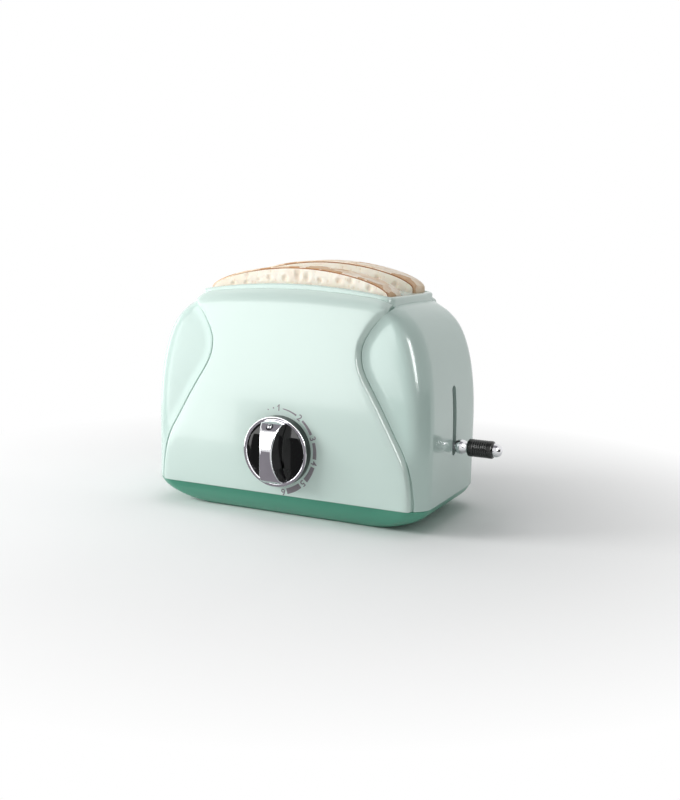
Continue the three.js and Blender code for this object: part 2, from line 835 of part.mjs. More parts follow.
function makeKnob() {
  const disc = turnedAlongDepth([
    [0, -knobFace],
    [knobRadius - knobRimWidth * 0.3, -knobFace],
    [knobRadius, -knobFace + knobRimWidth * 0.3],
    [knobRadius, -knobBack], [0, -knobBack],
  ], 0, dialZ, 40);
  const front = -knobFace - knobGripHeight - overrun;
  const arch = turnedAlongLength([
    [0, -knobRadius], [recessRadius, -knobRadius], [recessRadius, knobRadius], [0, knobRadius],
  ], 0, 40).scale([1, knobGripHeight / recessRadius, 1]).translate([0, -knobFace, dialZ]);
  const bar = crosswise(polygon(barOutline()), front, -recessFloor).intersect(arch);
  const spindle = rodAlongDepth(spindleRadius, 0, dialZ, -knobBack - restGap, -timerFront - restGap, 20);
  const socket = rodAlongDepth(arborRadius + restGap / 2, 0, dialZ, -knobFace + restGap, 0, 12);
  return disc
    .subtract(recessBody(-1, 0, front, -recessFloor))
    .subtract(recessBody(1, 0, front, -recessFloor))
    .add(bar)
    .subtract(pointerBall(pointerRadius + inlayGap))
    .add(spindle)
    .subtract(socket);
}

// A ball let into the sloping end of the grip bar
function pointerBall(radius) {
  const rise = knobGripHeight * Math.sqrt(1 - (pointerHeight / recessRadius) ** 2);
  const geometry = new THREE.SphereGeometry(radius, 16, 10);
  geometry.translate(0, -knobFace - rise + pointerSink, dialZ + pointerHeight - pointerSink);
  return solidOf(geometry);
}

// Outline of the grip bar: concave sides between ends that follow the rim
function barOutline() {
  const tip = Math.sqrt(recessRadius ** 2 - knobFlare ** 2);
  const steps = 14;
  const half = [];
  for (let i = 0; i <= steps; i += 1) {
    const height = 2 * (i / steps) - 1;
    half.push([knobFlare - (knobFlare - knobWaist) * (1 - height ** 2), tip * height]);
  }
  const endSteps = 6;
  const endAngle = Math.asin(knobFlare / recessRadius);
  for (let i = 1; i < endSteps; i += 1) {
    const angle = endAngle * (1 - 2 * (i / endSteps));
    half.push([recessRadius * Math.sin(angle), recessRadius * Math.cos(angle)]);
  }
  return [...half, ...half.map(([x, z]) => [-x, -z])].map(([x, z]) => [x, dialZ + z]);
}

addPiece('knob', makeKnob(), 'chrome');
for (const side of [-1, 1]) {
  addPiece(
    side < 0 ? 'knob_inlay_left' : 'knob_inlay_right',
    recessBody(side, inlayGap, -recessFloor - inlayThickness, -recessFloor), 'black',
  );
}
addPiece('knob_pointer', pointerBall(pointerRadius), 'steel');

// Clockwork module: plates, pillars and wheels

function gearOutline(teeth, module, phase) {
  const pitch = teeth * module / 2;
  const step = wholeTurn / teeth;
  const points = [];
  for (let i = 0; i < teeth; i += 1) {
    const middle = phase + i * step;
    for (const [turn, reach] of [[-0.21, -1.15], [-0.1, 0.85], [0.1, 0.85], [0.21, -1.15]]) {
      const radius = pitch + reach * module;
      points.push([radius * Math.cos(middle + turn * step), radius * Math.sin(middle + turn * step)]);
    }
  }
  return points;
}

function placed(points, [x, z]) {
  return polygon(points.map(([px, pz]) => [px + x, pz + z]));
}

function layer(shape, level, thickness) {
  return crosswise(shape, -level - thickness / 2, -level + thickness / 2);
}

function polar([x, z], degrees, radius) {
  const angle = THREE.MathUtils.degToRad(degrees);
  return [x + radius * Math.cos(angle), z + radius * Math.sin(angle)];
}

const toRadians = THREE.MathUtils.degToRad;
const halfPinion = Math.PI / pinionTeeth;
const mainCentre = [0, dialZ];
const secondCentre = polar(mainCentre, secondBearing, (mainTeeth + pinionTeeth) * gearModule / 2);
const thirdCentre = polar(secondCentre, thirdBearing, (secondTeeth + pinionTeeth) * fineModule / 2);
const escapeCentre = polar(thirdCentre, escapeBearing, (thirdTeeth + pinionTeeth) * fineModule / 2);
const anchorCentre = [escapeCentre[0], escapeCentre[1] - anchorDrop];
const plateFront = -timerFront;
const plateBack = -timerBack;
const arborSpots = [secondCentre, thirdCentre, escapeCentre, anchorCentre];
const pillarSpots = [
  [timerLeft + pillarInset, timerTop - pillarInset], [timerRight - pillarInset, timerTop - pillarInset],
  [timerLeft + pillarInset, timerBottom + pillarInset],
  [timerRight - pillarInset, timerBottom + pillarInset],
];
const latchPivot = [latchX, latchTop];

function makePlate(front, back, foot) {
  const outline = roundedRectangle(timerLeft, timerRight, timerBottom, timerTop, timerCorner);
  let plate = crosswise(outline, front, back);
  if (foot) {
    plate = plate.add(block(footLeft, footRight, front, back, frameTop, timerBottom + timerCorner));
  }
  for (const [x, z] of [mainCentre, ...arborSpots]) {
    plate = plate.subtract(rodAlongDepth(arborRadius + restGap / 2, x, z, front - overrun, back + overrun));
  }
  return plate;
}

addPiece('timer_front_plate', makePlate(plateFront, plateFront + timerPlate, false), 'steel');
addPiece('timer_back_plate', makePlate(plateBack - timerPlate, plateBack, true), 'steel');
pillarSpots.forEach(([x, z], i) => {
  addPiece(`timer_pillar_${i + 1}`, rodAlongDepth(
    pillarRadius, x, z, plateFront + timerPlate, plateBack - timerPlate,
  ), 'brass');
});

function wheelBody(centre, wheel, pinion, wheelLevel, pinionLevel) {
  let body = rodAlongDepth(arborRadius, centre[0], centre[1], plateFront, plateBack);
  body = body.add(layer(placed(wheel, centre), wheelLevel, wheelThickness));
  if (pinion) {
    body = body.add(layer(placed(pinion, centre), pinionLevel, pinionThickness));
  }
  return body;
}

const away = Math.PI;
addPiece('winding_arbor', rodAlongDepth(arborRadius, ...mainCentre, -knobFace + 2 * restGap, plateBack)
  .add(rodAlongDepth(springInnerRadius - ribbonThickness, ...mainCentre, -springLevel - springHeight / 2,
    -springLevel + springHeight / 2)), 'steel');
addPiece('main_wheel', layer(
  placed(gearOutline(mainTeeth, gearModule, toRadians(secondBearing)), mainCentre),
  mainLevel, wheelThickness,
).subtract(rodAlongDepth(arborRadius + restGap / 2, ...mainCentre, -farDepth, 0)), 'brass');
addPiece('second_wheel', wheelBody(
  secondCentre,
  gearOutline(secondTeeth, fineModule, toRadians(thirdBearing)),
  gearOutline(pinionTeeth, gearModule, toRadians(secondBearing) + away + halfPinion),
  rearLevel, mainLevel,
), 'white');
addPiece('third_wheel', wheelBody(
  thirdCentre,
  gearOutline(thirdTeeth, fineModule, toRadians(escapeBearing)),
  gearOutline(pinionTeeth, fineModule, toRadians(thirdBearing) + away + halfPinion),
  mainLevel, rearLevel,
), 'white');

// Escape wheel with pointed teeth, and the anchor that lets them pass one by one
function escapeOutline() {
  const points = [];
  const step = wholeTurn / escapeTeeth;
  for (let i = 0; i < escapeTeeth; i += 1) {
    const start = Math.PI / 2 + i * step;
    points.push([escapeRadius * Math.cos(start), escapeRadius * Math.sin(start)]);
    for (const turn of [0.28, 0.9]) {
      const angle = start + turn * step;
      const root = escapeRadius - escapeDepth;
      points.push([root * Math.cos(angle), root * Math.sin(angle)]);
    }
  }
  return points;
}

addPiece('escape_wheel', wheelBody(
  escapeCentre, escapeOutline(),
  gearOutline(pinionTeeth, fineModule, toRadians(escapeBearing) + away + halfPinion),
  springLevel, mainLevel,
), 'brass');

const anchorRise = anchorDrop - Math.sqrt((escapeRadius + anchorWidth) ** 2 - anchorSpread ** 2);
addPiece('anchor', rodAlongDepth(arborRadius, ...anchorCentre, plateFront, plateBack)
  .add(layer(placed([
    [-anchorSpread - anchorWidth, -anchorWidth], [anchorSpread + anchorWidth, -anchorWidth],
    [anchorSpread + anchorWidth, anchorArm], [anchorSpread + anchorWidth / 3, anchorArm],
    [anchorSpread, anchorRise], [-anchorSpread, anchorRise],
    [-anchorSpread - anchorWidth / 3, anchorArm], [-anchorSpread - anchorWidth, anchorArm],
  ], anchorCentre), springLevel, wheelThickness)), 'steel');

// Mainspring: one flat ribbon wound from the arbor outwards
function ribbonOutline() {
  const steps = ribbonTurns * 16;
  const inner = [];
  const outer = [];
  for (let i = 0; i <= steps; i += 1) {
    const t = i / steps;
    const angle = wholeTurn * ribbonTurns * t;
    const radius = springInnerRadius + (springOuterRadius - springInnerRadius) * t;
    inner.push([radius * Math.cos(angle), dialZ + radius * Math.sin(angle)]);
    const over = radius + ribbonThickness;
    outer.push([over * Math.cos(angle), dialZ + over * Math.sin(angle)]);
  }
  return [...outer, ...inner.reverse()];
}

addPiece('mainspring', crosswise(
  polygon(ribbonOutline()), -springLevel - springHeight / 2, -springLevel + springHeight / 2,
), 'steel');

// Snail cam: it falls evenly over the knob's travel, then rises back to its start
function camOutline() {
  const points = [];
  const steps = 36;
  const fall = toRadians(knobTravelDegrees);
  for (let i = 0; i < steps; i += 1) {
    const turn = wholeTurn * (i / steps);
    const share = turn < fall ? turn / fall : (wholeTurn - turn) / (wholeTurn - fall);
    const radius = camReach - camDrop * share;
    points.push([-radius * Math.cos(turn), -radius * Math.sin(turn)]);
  }
  return points;
}

addPiece('release_cam', layer(placed(camOutline(), mainCentre), camLevel, camThickness)
  .subtract(rodAlongDepth(arborRadius + restGap / 2, ...mainCentre, -farDepth, 0)), 'white');

addPiece('latch_lever', layer(
  roundedRectangle(
    latchX - latchWidth, latchX + latchWidth / 2, latchPinZ - latchWidth / 2, latchTop + latchWidth / 2,
    latchWidth / 2.5,
  ), camLevel, camThickness,
)
  .subtract(rodAlongDepth(latchPostRadius + restGap / 2, ...latchPivot, -farDepth, 0))
  .subtract(rodAlongDepth(latchPinRadius + restGap / 2, latchX, latchPinZ, -farDepth, 0)), 'steel');
addPiece('latch_post', rodAlongDepth(
  latchPostRadius, ...latchPivot, plateFront + timerPlate, plateBack - timerPlate,
), 'brass');
addPiece('latch_pin', rodAlongDepth(
  latchPinRadius, latchX, latchPinZ, -camLevel - camThickness / 2, -latchPinEnd,
), 'steel');

// Return spring of the latch, wound round its post
const latchCoil = wirePiece(
  new Helix(
    latchSpringRadius, timerBack + timerPlate + restGap + latchSpringWire,
    camLevel - camThickness / 2 - restGap - latchSpringWire, latchSpringTurns,
  ), latchSpringWire, latchSpringTurns * coilSteps,
);
latchCoil.rotateX(Math.PI / 2);
latchCoil.translate(latchPivot[0], 0, latchPivot[1]);
addPiece('latch_spring', solidOf(latchCoil), 'steel');

// Catch plate under the carriage: its foot lies below the latch pin once the latch swings in
const catchTop = carriageBottom;
const footTop = latchPinZ - latchPinRadius - restGap;
const pinSwing = (latchTop - latchPinZ) * Math.sin(toRadians(latchSwingDegrees));
const footLeftEnd = latchX + latchPinRadius + restGap;
const catchEdge = latchX + latchPinRadius + pinSwing + 2 * restGap;
addPiece('catch_plate', crosswise(polygon([
  [catchEdge, catchTop], [catchEdge, footTop], [footLeftEnd, footTop], [footLeftEnd, footTop - catchFoot],
  [catchEdge + catchWidth, footTop - catchFoot], [catchEdge + catchWidth, catchTop],
]), -catchPlane, -catchPlane + catchThickness), 'steel');

export default toaster;
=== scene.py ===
"""Dressed model of a toy pop-up toaster with a clockwork timer.

Sizes are in millimetres until a mesh is made; every Blender object is in metres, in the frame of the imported
model: the underside centre is the origin, Z is up, the dial faces -Y and the lever is at +X.
"""
import logging
import math
import random
from dataclasses import dataclass, field
from enum import Enum
from typing import Any, Callable, Iterable, Sequence

import bmesh
import bpy
from mathutils import Matrix, Vector, noise


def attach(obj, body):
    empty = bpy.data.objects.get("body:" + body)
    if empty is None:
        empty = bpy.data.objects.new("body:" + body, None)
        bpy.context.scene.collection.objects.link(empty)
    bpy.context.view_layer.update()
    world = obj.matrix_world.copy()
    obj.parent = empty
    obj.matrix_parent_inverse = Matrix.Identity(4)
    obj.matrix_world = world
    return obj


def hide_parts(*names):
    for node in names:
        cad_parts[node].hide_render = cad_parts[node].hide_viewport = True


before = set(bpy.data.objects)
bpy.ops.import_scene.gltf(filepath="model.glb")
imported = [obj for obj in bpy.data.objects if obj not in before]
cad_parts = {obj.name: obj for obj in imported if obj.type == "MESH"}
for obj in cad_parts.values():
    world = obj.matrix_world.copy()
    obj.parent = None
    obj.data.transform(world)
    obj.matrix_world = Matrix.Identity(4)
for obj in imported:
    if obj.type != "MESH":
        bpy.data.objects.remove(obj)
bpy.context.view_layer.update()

logging.basicConfig(level=logging.INFO, format="%(message)s")
LOG = logging.getLogger("toaster")

Flat = tuple[float, float]
Point = tuple[float, float, float]
Object = bpy.types.Object
Material = bpy.types.Material
Socket = bpy.types.NodeSocket
Surface = tuple[list[Point], list[list[int]]]
Place = Callable[[float, float, float], Point]

MM = 0.001
CREASE = 32.0  # edges sharper than this many degrees stay sharp, where a piece has no angle of its own
TIP = 0.01  # radius of a turned body where it meets its axis
KNOB_HEIGHT = 43.0
WHITE = (255.0, 255.0, 255.0)


class Side(Enum):
    """Which way along an axis a piece lies: low is front or left, high is back or right."""

    LOW = -1
    HIGH = 1

    def choose(self, low: Any, high: Any) -> Any:
        """Gives the first value on the low side, the second on the high side."""
        return low if self is Side.LOW else high


class Body(Enum):
    """The moving bodies of the toaster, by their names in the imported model."""

    HOUSING = "housing"
    CARRIAGE = "carriage"
    SLICE_FRONT = "slice_front"
    SLICE_BACK = "slice_back"
    KNOB = "knob"


class Slot(Enum):
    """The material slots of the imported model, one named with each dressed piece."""

    MINT = "mint_shell"
    GREEN = "green_base"
    CHROME = "chrome_trim"
    BLACK = "black_gloss"
    STEEL = "steel_parts"
    BREAD = "bread_toy"


# Node trees


class Tree:
    """A node tree with one short call for a node, its settings and what feeds it."""

    def __init__(self, tree: bpy.types.NodeTree) -> None:
        """Keeps the tree's parts.

        Args:
            tree: the tree of a material, a world or a modifier.
        """
        self.nodes = tree.nodes
        self.links = tree.links

    def feed(self, node: bpy.types.Node, values: dict[str | int, Any]) -> None:
        """Sets or links inputs.

        Args:
            node: the node.
            values: a constant, or the socket to link, by the input's name or number.
        """
        for key, value in values.items():
            if isinstance(value, Socket):
                self.links.new(value, node.inputs[key])
            else:
                node.inputs[key].default_value = value

    def add(self, kind: str, values: dict[str | int, Any] | None = None, **settings: Any) -> bpy.types.Node:
        """Adds a node.

        Args:
            kind: the node's type.
            values: a constant, or the socket to link, by the input's name or number.
            settings: the node's own properties.

        Returns:
            The node.
        """
        node = self.nodes.new(kind)
        for key, value in settings.items():
            setattr(node, key, value)
        self.feed(node, values or {})
        return node

    def seen(self) -> Socket:
        """Tells rays that are seen directly, in a mirror or through glass from all others.

        Returns:
            The socket with 1 for such rays and 0 for others.
        """
        path = self.add("ShaderNodeLightPath")
        total = path.outputs["Is Camera Ray"]
        for name in ("Is Glossy Ray", "Is Transmission Ray"):
            values = {0: total, 1: path.outputs[name]}
            total = self.add("ShaderNodeMath", values, operation="MAXIMUM").outputs[0]
        return total


class ShaderSheet(Tree):
    """One material's tree, with calls for the patterns that the finishes use."""

    def __init__(self, name: str) -> None:
        """Starts a material with one principled shader.

        Args:
            name: the material's name.
        """
        self.material = bpy.data.materials.new(name)
        self.material.use_nodes = True
        super().__init__(self.material.node_tree)
        self.shader = self.nodes["Principled BSDF"]
        self.place = self.add("ShaderNodeTexCoord").outputs["Object"]
        self.relief: Socket | None = None

    def set(self, **values: Any) -> None:
        """Sets or links the shader's inputs, underscores standing for spaces."""
        self.feed(self.shader, {key.replace("_", " "): value for key, value in values.items()})

    def mapped(self, scale: Point, turn: float = 0.0) -> Socket:
        """Stretches and turns the object's coordinates.

        Args:
            scale: stretch along each axis.
            turn: turn about Z in degrees.

        Returns:
            The socket with the new coordinates.
        """
        values = {"Vector": self.place, "Scale": scale, "Rotation": (0.0, 0.0, math.radians(turn))}
        return self.add("ShaderNodeMapping", values).outputs["Vector"]

    def noise(self, scale: float, detail: float, where: Socket | None = None) -> Socket:
        """Adds a noise pattern.

        Args:
            scale: patches per metre.
            detail: how many finer layers are added.
            where: where the pattern is read, the object's own coordinates by default.

        Returns:
            The socket with the pattern's value.
        """
        values = {"Scale": scale, "Detail": detail, "Vector": where or self.place}
        return self.add("ShaderNodeTexNoise", values).outputs["Fac"]

    def cells(self, scale: float, where: Socket, output: str = "Distance") -> Socket:
        """Adds a pattern of cells.

        Args:
            scale: cells per metre.
            where: where the pattern is read.
            output: which of the node's outputs is wanted.

        Returns:
            The socket asked for.
        """
        return self.add("ShaderNodeTexVoronoi", {"Scale": scale, "Vector": where}).outputs[output]

    def ramp(self, value: Socket, *stops: tuple[float, Point], stepped: bool = False) -> Socket:
        """Turns a value into a colour.

        Args:
            value: the socket with the value.
            stops: places from 0 to 1 with their colours from 0 to 255.
            stepped: whether the colours meet without a blend.

        Returns:
            The socket with the colour.
        """
        node = self.add("ShaderNodeValToRGB", {"Fac": value})
        node.color_ramp.interpolation = "CONSTANT" if stepped else "LINEAR"
        elements = node.color_ramp.elements
        while len(elements) < len(stops):
            elements.new(0.5)
        for element, (place, color) in zip(elements, stops):
            element.position = place
            element.color = linear(color)
        return node.outputs["Color"]

    def spread(self, value: Socket, result: Flat, span: Flat = (0.3, 0.7)) -> Socket:
        """Maps a value from one range to another.

        Args:
            value: the socket with the value.
            result: the result at the start and at the end.
            span: the values that give them.

        Returns:
            The socket with the result.
        """
        values = {
            "Value": value, "From Min": span[0], "From Max": span[1],
            "To Min": result[0], "To Max": result[1],
        }
        return self.add("ShaderNodeMapRange", values).outputs["Result"]

    def multiply(self, first: Socket, second: Socket, share: float) -> Socket:
        """Darkens one colour by another.

        Args:
            first: the colour that is darkened.
            second: the colour that darkens it.
            share: how much of the result is taken.

        Returns:
            The socket with the colour.
        """
        values = {"Factor": share, 6: first, 7: second}
        return self.add("ShaderNodeMix", values, data_type="RGBA", blend_type="MULTIPLY").outputs[2]

    def bump(self, height: Socket, strength: float, distance: float) -> None:
        """Adds relief to the shader, on top of the relief that is there.

        Args:
            height: the socket with the height.
            strength: how strong the relief is, from 0 to 1.
            distance: the relief's depth in metres.
        """
        values = {"Height": height, "Strength": strength, "Distance": distance}
        if self.relief is not None:
            values["Normal"] = self.relief
        self.relief = self.add("ShaderNodeBump", values).outputs["Normal"]
        self.set(Normal=self.relief)


class GeometrySheet(Tree):
    """A Geometry Nodes tree with named inputs."""

    def __init__(self, name: str) -> None:
        """Starts an empty tree.

        Args:
            name: the tree's name.
        """
        self.tree = bpy.data.node_groups.new(name, "GeometryNodeTree")
        self.tree.interface.new_socket("Geometry", in_out="OUTPUT", socket_type="NodeSocketGeometry")
        super().__init__(self.tree)
        self.keys: dict[str, str] = {}
        self.input = self.add("NodeGroupInput")
        self.output = self.add("NodeGroupOutput")

    def take(self, name: str, kind: str = "NodeSocketFloat") -> Socket:
        """Adds a named input.

        Args:
            name: the input's name.
            kind: its socket type.

        Returns:
            The input's socket inside the tree.
        """
        key = self.tree.interface.new_socket(name, in_out="INPUT", socket_type=kind).identifier
        self.keys[name] = key
        return next(socket for socket in self.input.outputs if socket.identifier == key)

    def end(self, geometry: Socket, material: Material) -> None:
        """Realizes the instances, sets the material and closes the tree.

        Args:
            geometry: the socket with the instances.
            material: the material.
        """
        real = self.add("GeometryNodeRealizeInstances", {"Geometry": geometry})
        dressed = self.add("GeometryNodeSetMaterial", {"Geometry": real.outputs[0], "Material": material})
        self.links.new(dressed.outputs[0], self.output.inputs[0])

    def run(self, name: str, values: dict[str, Any]) -> Object:
        """Runs the tree on an empty mesh.

        Args:
            name: the new object's name.
            values: the inputs by name.

        Returns:
            The object with a plain mesh.
        """
        obj = linked(name, bpy.data.meshes.new(name))
        modifier = obj.modifiers.new("make", "NODES")
        modifier.node_group = self.tree
        for key, value in values.items():
            modifier[self.keys[key]] = value
        return baked(obj)


# Finishes


def linear(color: Point) -> tuple[float, float, float, float]:
    """Turns a colour as seen on a screen into the linear values a shader takes.

    Args:
        color: red, green and blue from 0 to 255.

    Returns:
        Linear red, green, blue and an alpha of 1.
    """
    shares = [channel / 255 for channel in color]
    red, green, blue = (s / 12.92 if s <= 0.04045 else ((s + 0.055) / 1.055) ** 2.4 for s in shares)
    return red, green, blue, 1.0


def shaded(color: Point, factor: float) -> Point:
    """Makes a colour lighter or darker by a factor."""
    red, green, blue = (min(255.0, channel * factor) for channel in color)
    return red, green, blue


@dataclass(frozen=True)
class MouldedPlastic:
    """Moulded plastic with a slow change of tone and a faint orange peel; scales are patches per metre."""

    name: str
    color: Point
    tone: float
    roughness: float
    coat: float
    peel: float
    shine: float = 0.5
    haze: float = 0.06
    tone_scale: float = 14.0
    haze_scale: float = 30.0
    peel_scale: float = 38.0
    peel_depth: float = 0.0004
    coat_roughness: float = 0.05

    def build(self) -> Material:
        """Makes the material.

        Returns:
            The finished material.
        """
        sheet = ShaderSheet(self.name)
        dark, light = shaded(self.color, 1 - self.tone), shaded(self.color, 1 + self.tone)
        rough = (self.roughness * (1 - self.haze), self.roughness * (1 + self.haze))
        sheet.set(
            Base_Color=sheet.ramp(sheet.noise(self.tone_scale, 4), (0.3, dark), (0.7, light)),
            Roughness=sheet.spread(sheet.noise(self.haze_scale, 1), rough),
            Coat_Weight=self.coat, Coat_Roughness=self.coat_roughness, Specular_IOR_Level=self.shine,
        )
        sheet.bump(sheet.noise(self.peel_scale, 1), self.peel, self.peel_depth)
        return sheet.material


@dataclass(frozen=True)
class Metal:
    """Bright metal, turned or rolled, with fine scratches and patches of haze."""

    name: str
    color: Point
    roughness: float
    haze: float
    scratch: float
    grain: Point = (400.0, 40.0, 400.0)
    dull: float = 0.93
    tone_scale: float = 60.0
    haze_scale: float = 90.0
    scratch_depth: float = 0.0002

    def build(self) -> Material:
        """Makes the material.

        Returns:
            The finished material.
        """
        sheet = ShaderSheet(self.name)
        dark = shaded(self.color, self.dull)
        rough = (self.roughness, self.roughness + self.haze)
        sheet.set(
            Base_Color=sheet.ramp(sheet.noise(self.tone_scale, 4), (0.3, dark), (0.7, self.color)),
            Roughness=sheet.spread(sheet.noise(self.haze_scale, 5), rough), Metallic=1.0,
        )
        sheet.bump(sheet.noise(4, 3, sheet.mapped(self.grain)), self.scratch, self.scratch_depth)
        return sheet.material


@dataclass(frozen=True)
class BreadFinish:
    """What the finishes of a slice share: flecks over a tone, an uneven gloss and a fine relief."""

    name: str = "bread"
    fleck: Point = (222, 206, 190)
    fleck_scale: float = 220.0
    fleck_span: Flat = (0.3, 0.6)
    fleck_share: float = 0.8
    roughness: Flat = (0.45, 0.6)
    gloss_scale: float = 200.0
    grain_scale: float = 600.0
    grain: float = 0.15
    grain_depth: float = 0.0003

    def dress(self, sheet: ShaderSheet, tone: Socket, flecks: Socket) -> Material:
        """Ends a finish.

        Args:
            sheet: the material's tree.
            tone: the socket with the colour under the flecks.
            flecks: the socket with the pattern of the flecks.

        Returns:
            The finished material.
        """
        spots = sheet.ramp(flecks, (self.fleck_span[0], self.fleck), (self.fleck_span[1], WHITE))
        sheet.set(
            Base_Color=sheet.multiply(tone, spots, self.fleck_share),
            Roughness=sheet.spread(sheet.noise(self.gloss_scale, 3), self.roughness),
        )
        sheet.bump(sheet.noise(self.grain_scale, 3), self.grain, self.grain_depth)
        return sheet.material


@dataclass(frozen=True)
class BreadCrumb(BreadFinish):
    """Soft matt plastic face of a slice: cream with faint darker pits."""

    name: str = "bread_crumb"
    light: Point = (254, 246, 233)
    shade: Point = (248, 234, 215)
    fleck: Point = (232, 214, 194)
    fleck_scale: float = 420.0
    fleck_span: Flat = (0.05, 0.3)
    fleck_share: float = 0.55
    roughness: Flat = (0.5, 0.68)
    gloss_scale: float = 120.0
    grain_scale: float = 900.0
    grain: float = 0.18
    stretch: Point = (1.0, 1.0, 0.6)
    pit: float = 0.25
    pit_depth: float = 0.0006

    def build(self) -> Material:
        """Makes the material.

        Returns:
            The finished material.
        """
        sheet = ShaderSheet(self.name)
        tone = sheet.ramp(sheet.noise(45, 5), (0.35, self.shade), (0.6, self.light))
        pits = sheet.cells(self.fleck_scale, sheet.mapped(self.stretch))
        sheet.bump(pits, self.pit, self.pit_depth)
        sheet.set(Subsurface_Weight=0.08, Subsurface_Scale=0.003, Specular_IOR_Level=0.35)
        return self.dress(sheet, tone, pits)


@dataclass(frozen=True)
class BreadRind(BreadFinish):
    """Thin line between face and crust, pale at the left end and dark brown towards the right."""

    name: str = "bread_rind"
    pale: Point = (244, 224, 200)
    toasted: Point = (160, 104, 56)
    turn: Flat = (-0.05, -0.025)

    def build(self) -> Material:
        """Makes the material.

        Returns:
            The finished material.
        """
        sheet = ShaderSheet(self.name)
        along = sheet.add("ShaderNodeSeparateXYZ", {0: sheet.place}).outputs["X"]
        share = sheet.spread(along, (0.0, 1.0), self.turn)
        tone = sheet.ramp(share, (0.0, self.pale), (1.0, self.toasted))
        return self.dress(sheet, tone, sheet.noise(self.fleck_scale, 4))


@dataclass(frozen=True)
class BreadCrust(BreadFinish):
    """Crust band of a slice in several tans, one to a facet: toast colour mixed with painted light and shade
    of flat facets.
    """

    name: str = "bread_crust"
    tans: tuple[Point, ...] = ((255, 243, 226), (246, 224, 198), (216, 178, 138), (252, 236, 214))
    tan_span: Flat = (0.18, 0.82)
    fleck: Point = (236, 226, 214)
    fleck_scale: float = 260.0
    roughness: Flat = (0.42, 0.6)
    grain_scale: float = 700.0
    cell: float = 105.0
    stretch: Point = (1.0, 0.75, 1.3)
    slant: float = 20.0
    facet: float = 0.35
    facet_depth: float = 0.0012

    def build(self) -> Material:
        """Makes the material.

        Returns:
            The finished material.
        """
        sheet = ShaderSheet(self.name)
        where = sheet.mapped(self.stretch, self.slant)
        last = len(self.tans) - 1
        stops = [(blend(*self.tan_span, i / last), tan) for i, tan in enumerate(self.tans)]
        # Each cell takes one tan: toast colour and also painted facet shade, the palest tan a painted
        # highlight.
        tone = sheet.ramp(sheet.cells(self.cell, where, "Color"), *stops, stepped=True)
        sheet.bump(sheet.cells(self.cell, where), self.facet, self.facet_depth)
        sheet.set(Specular_IOR_Level=0.4)
        return self.dress(sheet, tone, sheet.noise(self.fleck_scale, 4))


@dataclass(frozen=True)
class PrintInk:
    """Thin grey ink on the shell, a little uneven."""

    name: str = "dial_ink"
    color: Point = (126, 121, 127)
    thin: float = 1.08
    roughness: Flat = (0.35, 0.5)

    def build(self) -> Material:
        """Makes the material.

        Returns:
            The finished material.
        """
        sheet = ShaderSheet(self.name)
        thin = shaded(self.color, self.thin)
        sheet.set(
            Base_Color=sheet.ramp(sheet.noise(900, 3), (0.35, self.color), (0.7, thin)),
            Roughness=sheet.spread(sheet.noise(300, 2), self.roughness),
        )
        return sheet.material


def made(finish: MouldedPlastic | Metal | BreadFinish | PrintInk) -> Any:
    """Gives a field whose value is the finish's material, made together with its owner."""
    return field(default_factory=finish.build)


@dataclass(frozen=True)
class Finishes:
    """Every finish of the toaster, made once."""

    mint: Material = made(MouldedPlastic("mint_plastic", (206, 225, 218), 0.004, 0.22, 0.25, 0.015))
    # The end caps and their inner lips take this darker copy of the mint: painted shade, so that the caps
    # look as if they lay in shade.
    mint_end: Material = made(MouldedPlastic("mint_end_plastic", (191, 213, 206), 0.004, 0.22, 0.25, 0.015))
    green: Material = made(MouldedPlastic("green_plastic", (76, 150, 126), 0.015, 0.3, 0.2, 0.02))
    chrome: Material = made(Metal("plated_chrome", (236, 236, 239), 0.04, 0.04, 0.008))
    black: Material = made(MouldedPlastic("black_plastic", (16, 18, 16), 0.2, 0.24, 0.2, 0.06))
    # Dark grey-green for the knob's outer side wall, in place of chrome: painted reflection of the mint shell
    # and painted shade at the knob's foot.
    side: Material = made(MouldedPlastic("knob_side", (44, 56, 50), 0.1, 0.3, 0.0, 0.04))
    # Black gloss of the lens plates, a real black; it also lines the pointer's pit, where it is a painted
    # shadow.
    recess: Material = made(MouldedPlastic("black_gloss", (1, 5, 2), 0.2, 0.1, 0.0, 0.0, 0.36))
    pin: Material = made(Metal("polished_steel", (168, 168, 172), 0.1, 0.04, 0.02))
    steel: Material = made(Metal("rolled_steel", (178, 180, 183), 0.28, 0.14, 0.08))
    spring: Material = made(Metal("spring_wire", (150, 153, 158), 0.2, 0.1, 0.05, (300.0, 300.0, 900.0)))
    white: Material = made(MouldedPlastic("white_plastic", (232, 232, 226), 0.015, 0.45, 0.0, 0.1))
    brass: Material = made(Metal("stamped_brass", (208, 176, 102), 0.2, 0.12, 0.06))
    crumb: Material = made(BreadCrumb())
    # A darker copy of the crumb for faces deep in the pores: painted shade in the hollows.
    pore: Material = made(BreadCrumb("bread_pore", light=(251, 239, 222), shade=(244, 227, 206)))
    crust: Material = made(BreadCrust())
    rind: Material = made(BreadRind())
    ink: Material = made(PrintInk())


# Curves and meshes


def blend(low: float, high: float, share: float) -> float:
    """Gives the value part of the way from one number to another."""
    return low + (high - low) * share


def clamp(share: float) -> float:
    """Keeps a share between 0 and 1."""
    return min(max(share, 0.0), 1.0)


def quarter_turn(steps: int) -> list[Flat]:
    """Gives sine and cosine of even steps from 0 to 90 degrees."""
    return [(math.sin(math.pi / 2 * i / steps), math.cos(math.pi / 2 * i / steps)) for i in range(steps + 1)]


def cubic(controls: Sequence[Flat], t: float) -> Flat:
    """Gives a point of a cubic curve.

    Args:
        controls: its four control points.
        t: place along it from 0 to 1.

    Returns:
        The point.
    """
    s = 1 - t
    weights = (s ** 3, 3 * s * s * t, 3 * s * t * t, t ** 3)
    x, y = (sum(weight * point[k] for weight, point in zip(weights, controls)) for k in (0, 1))
    return x, y


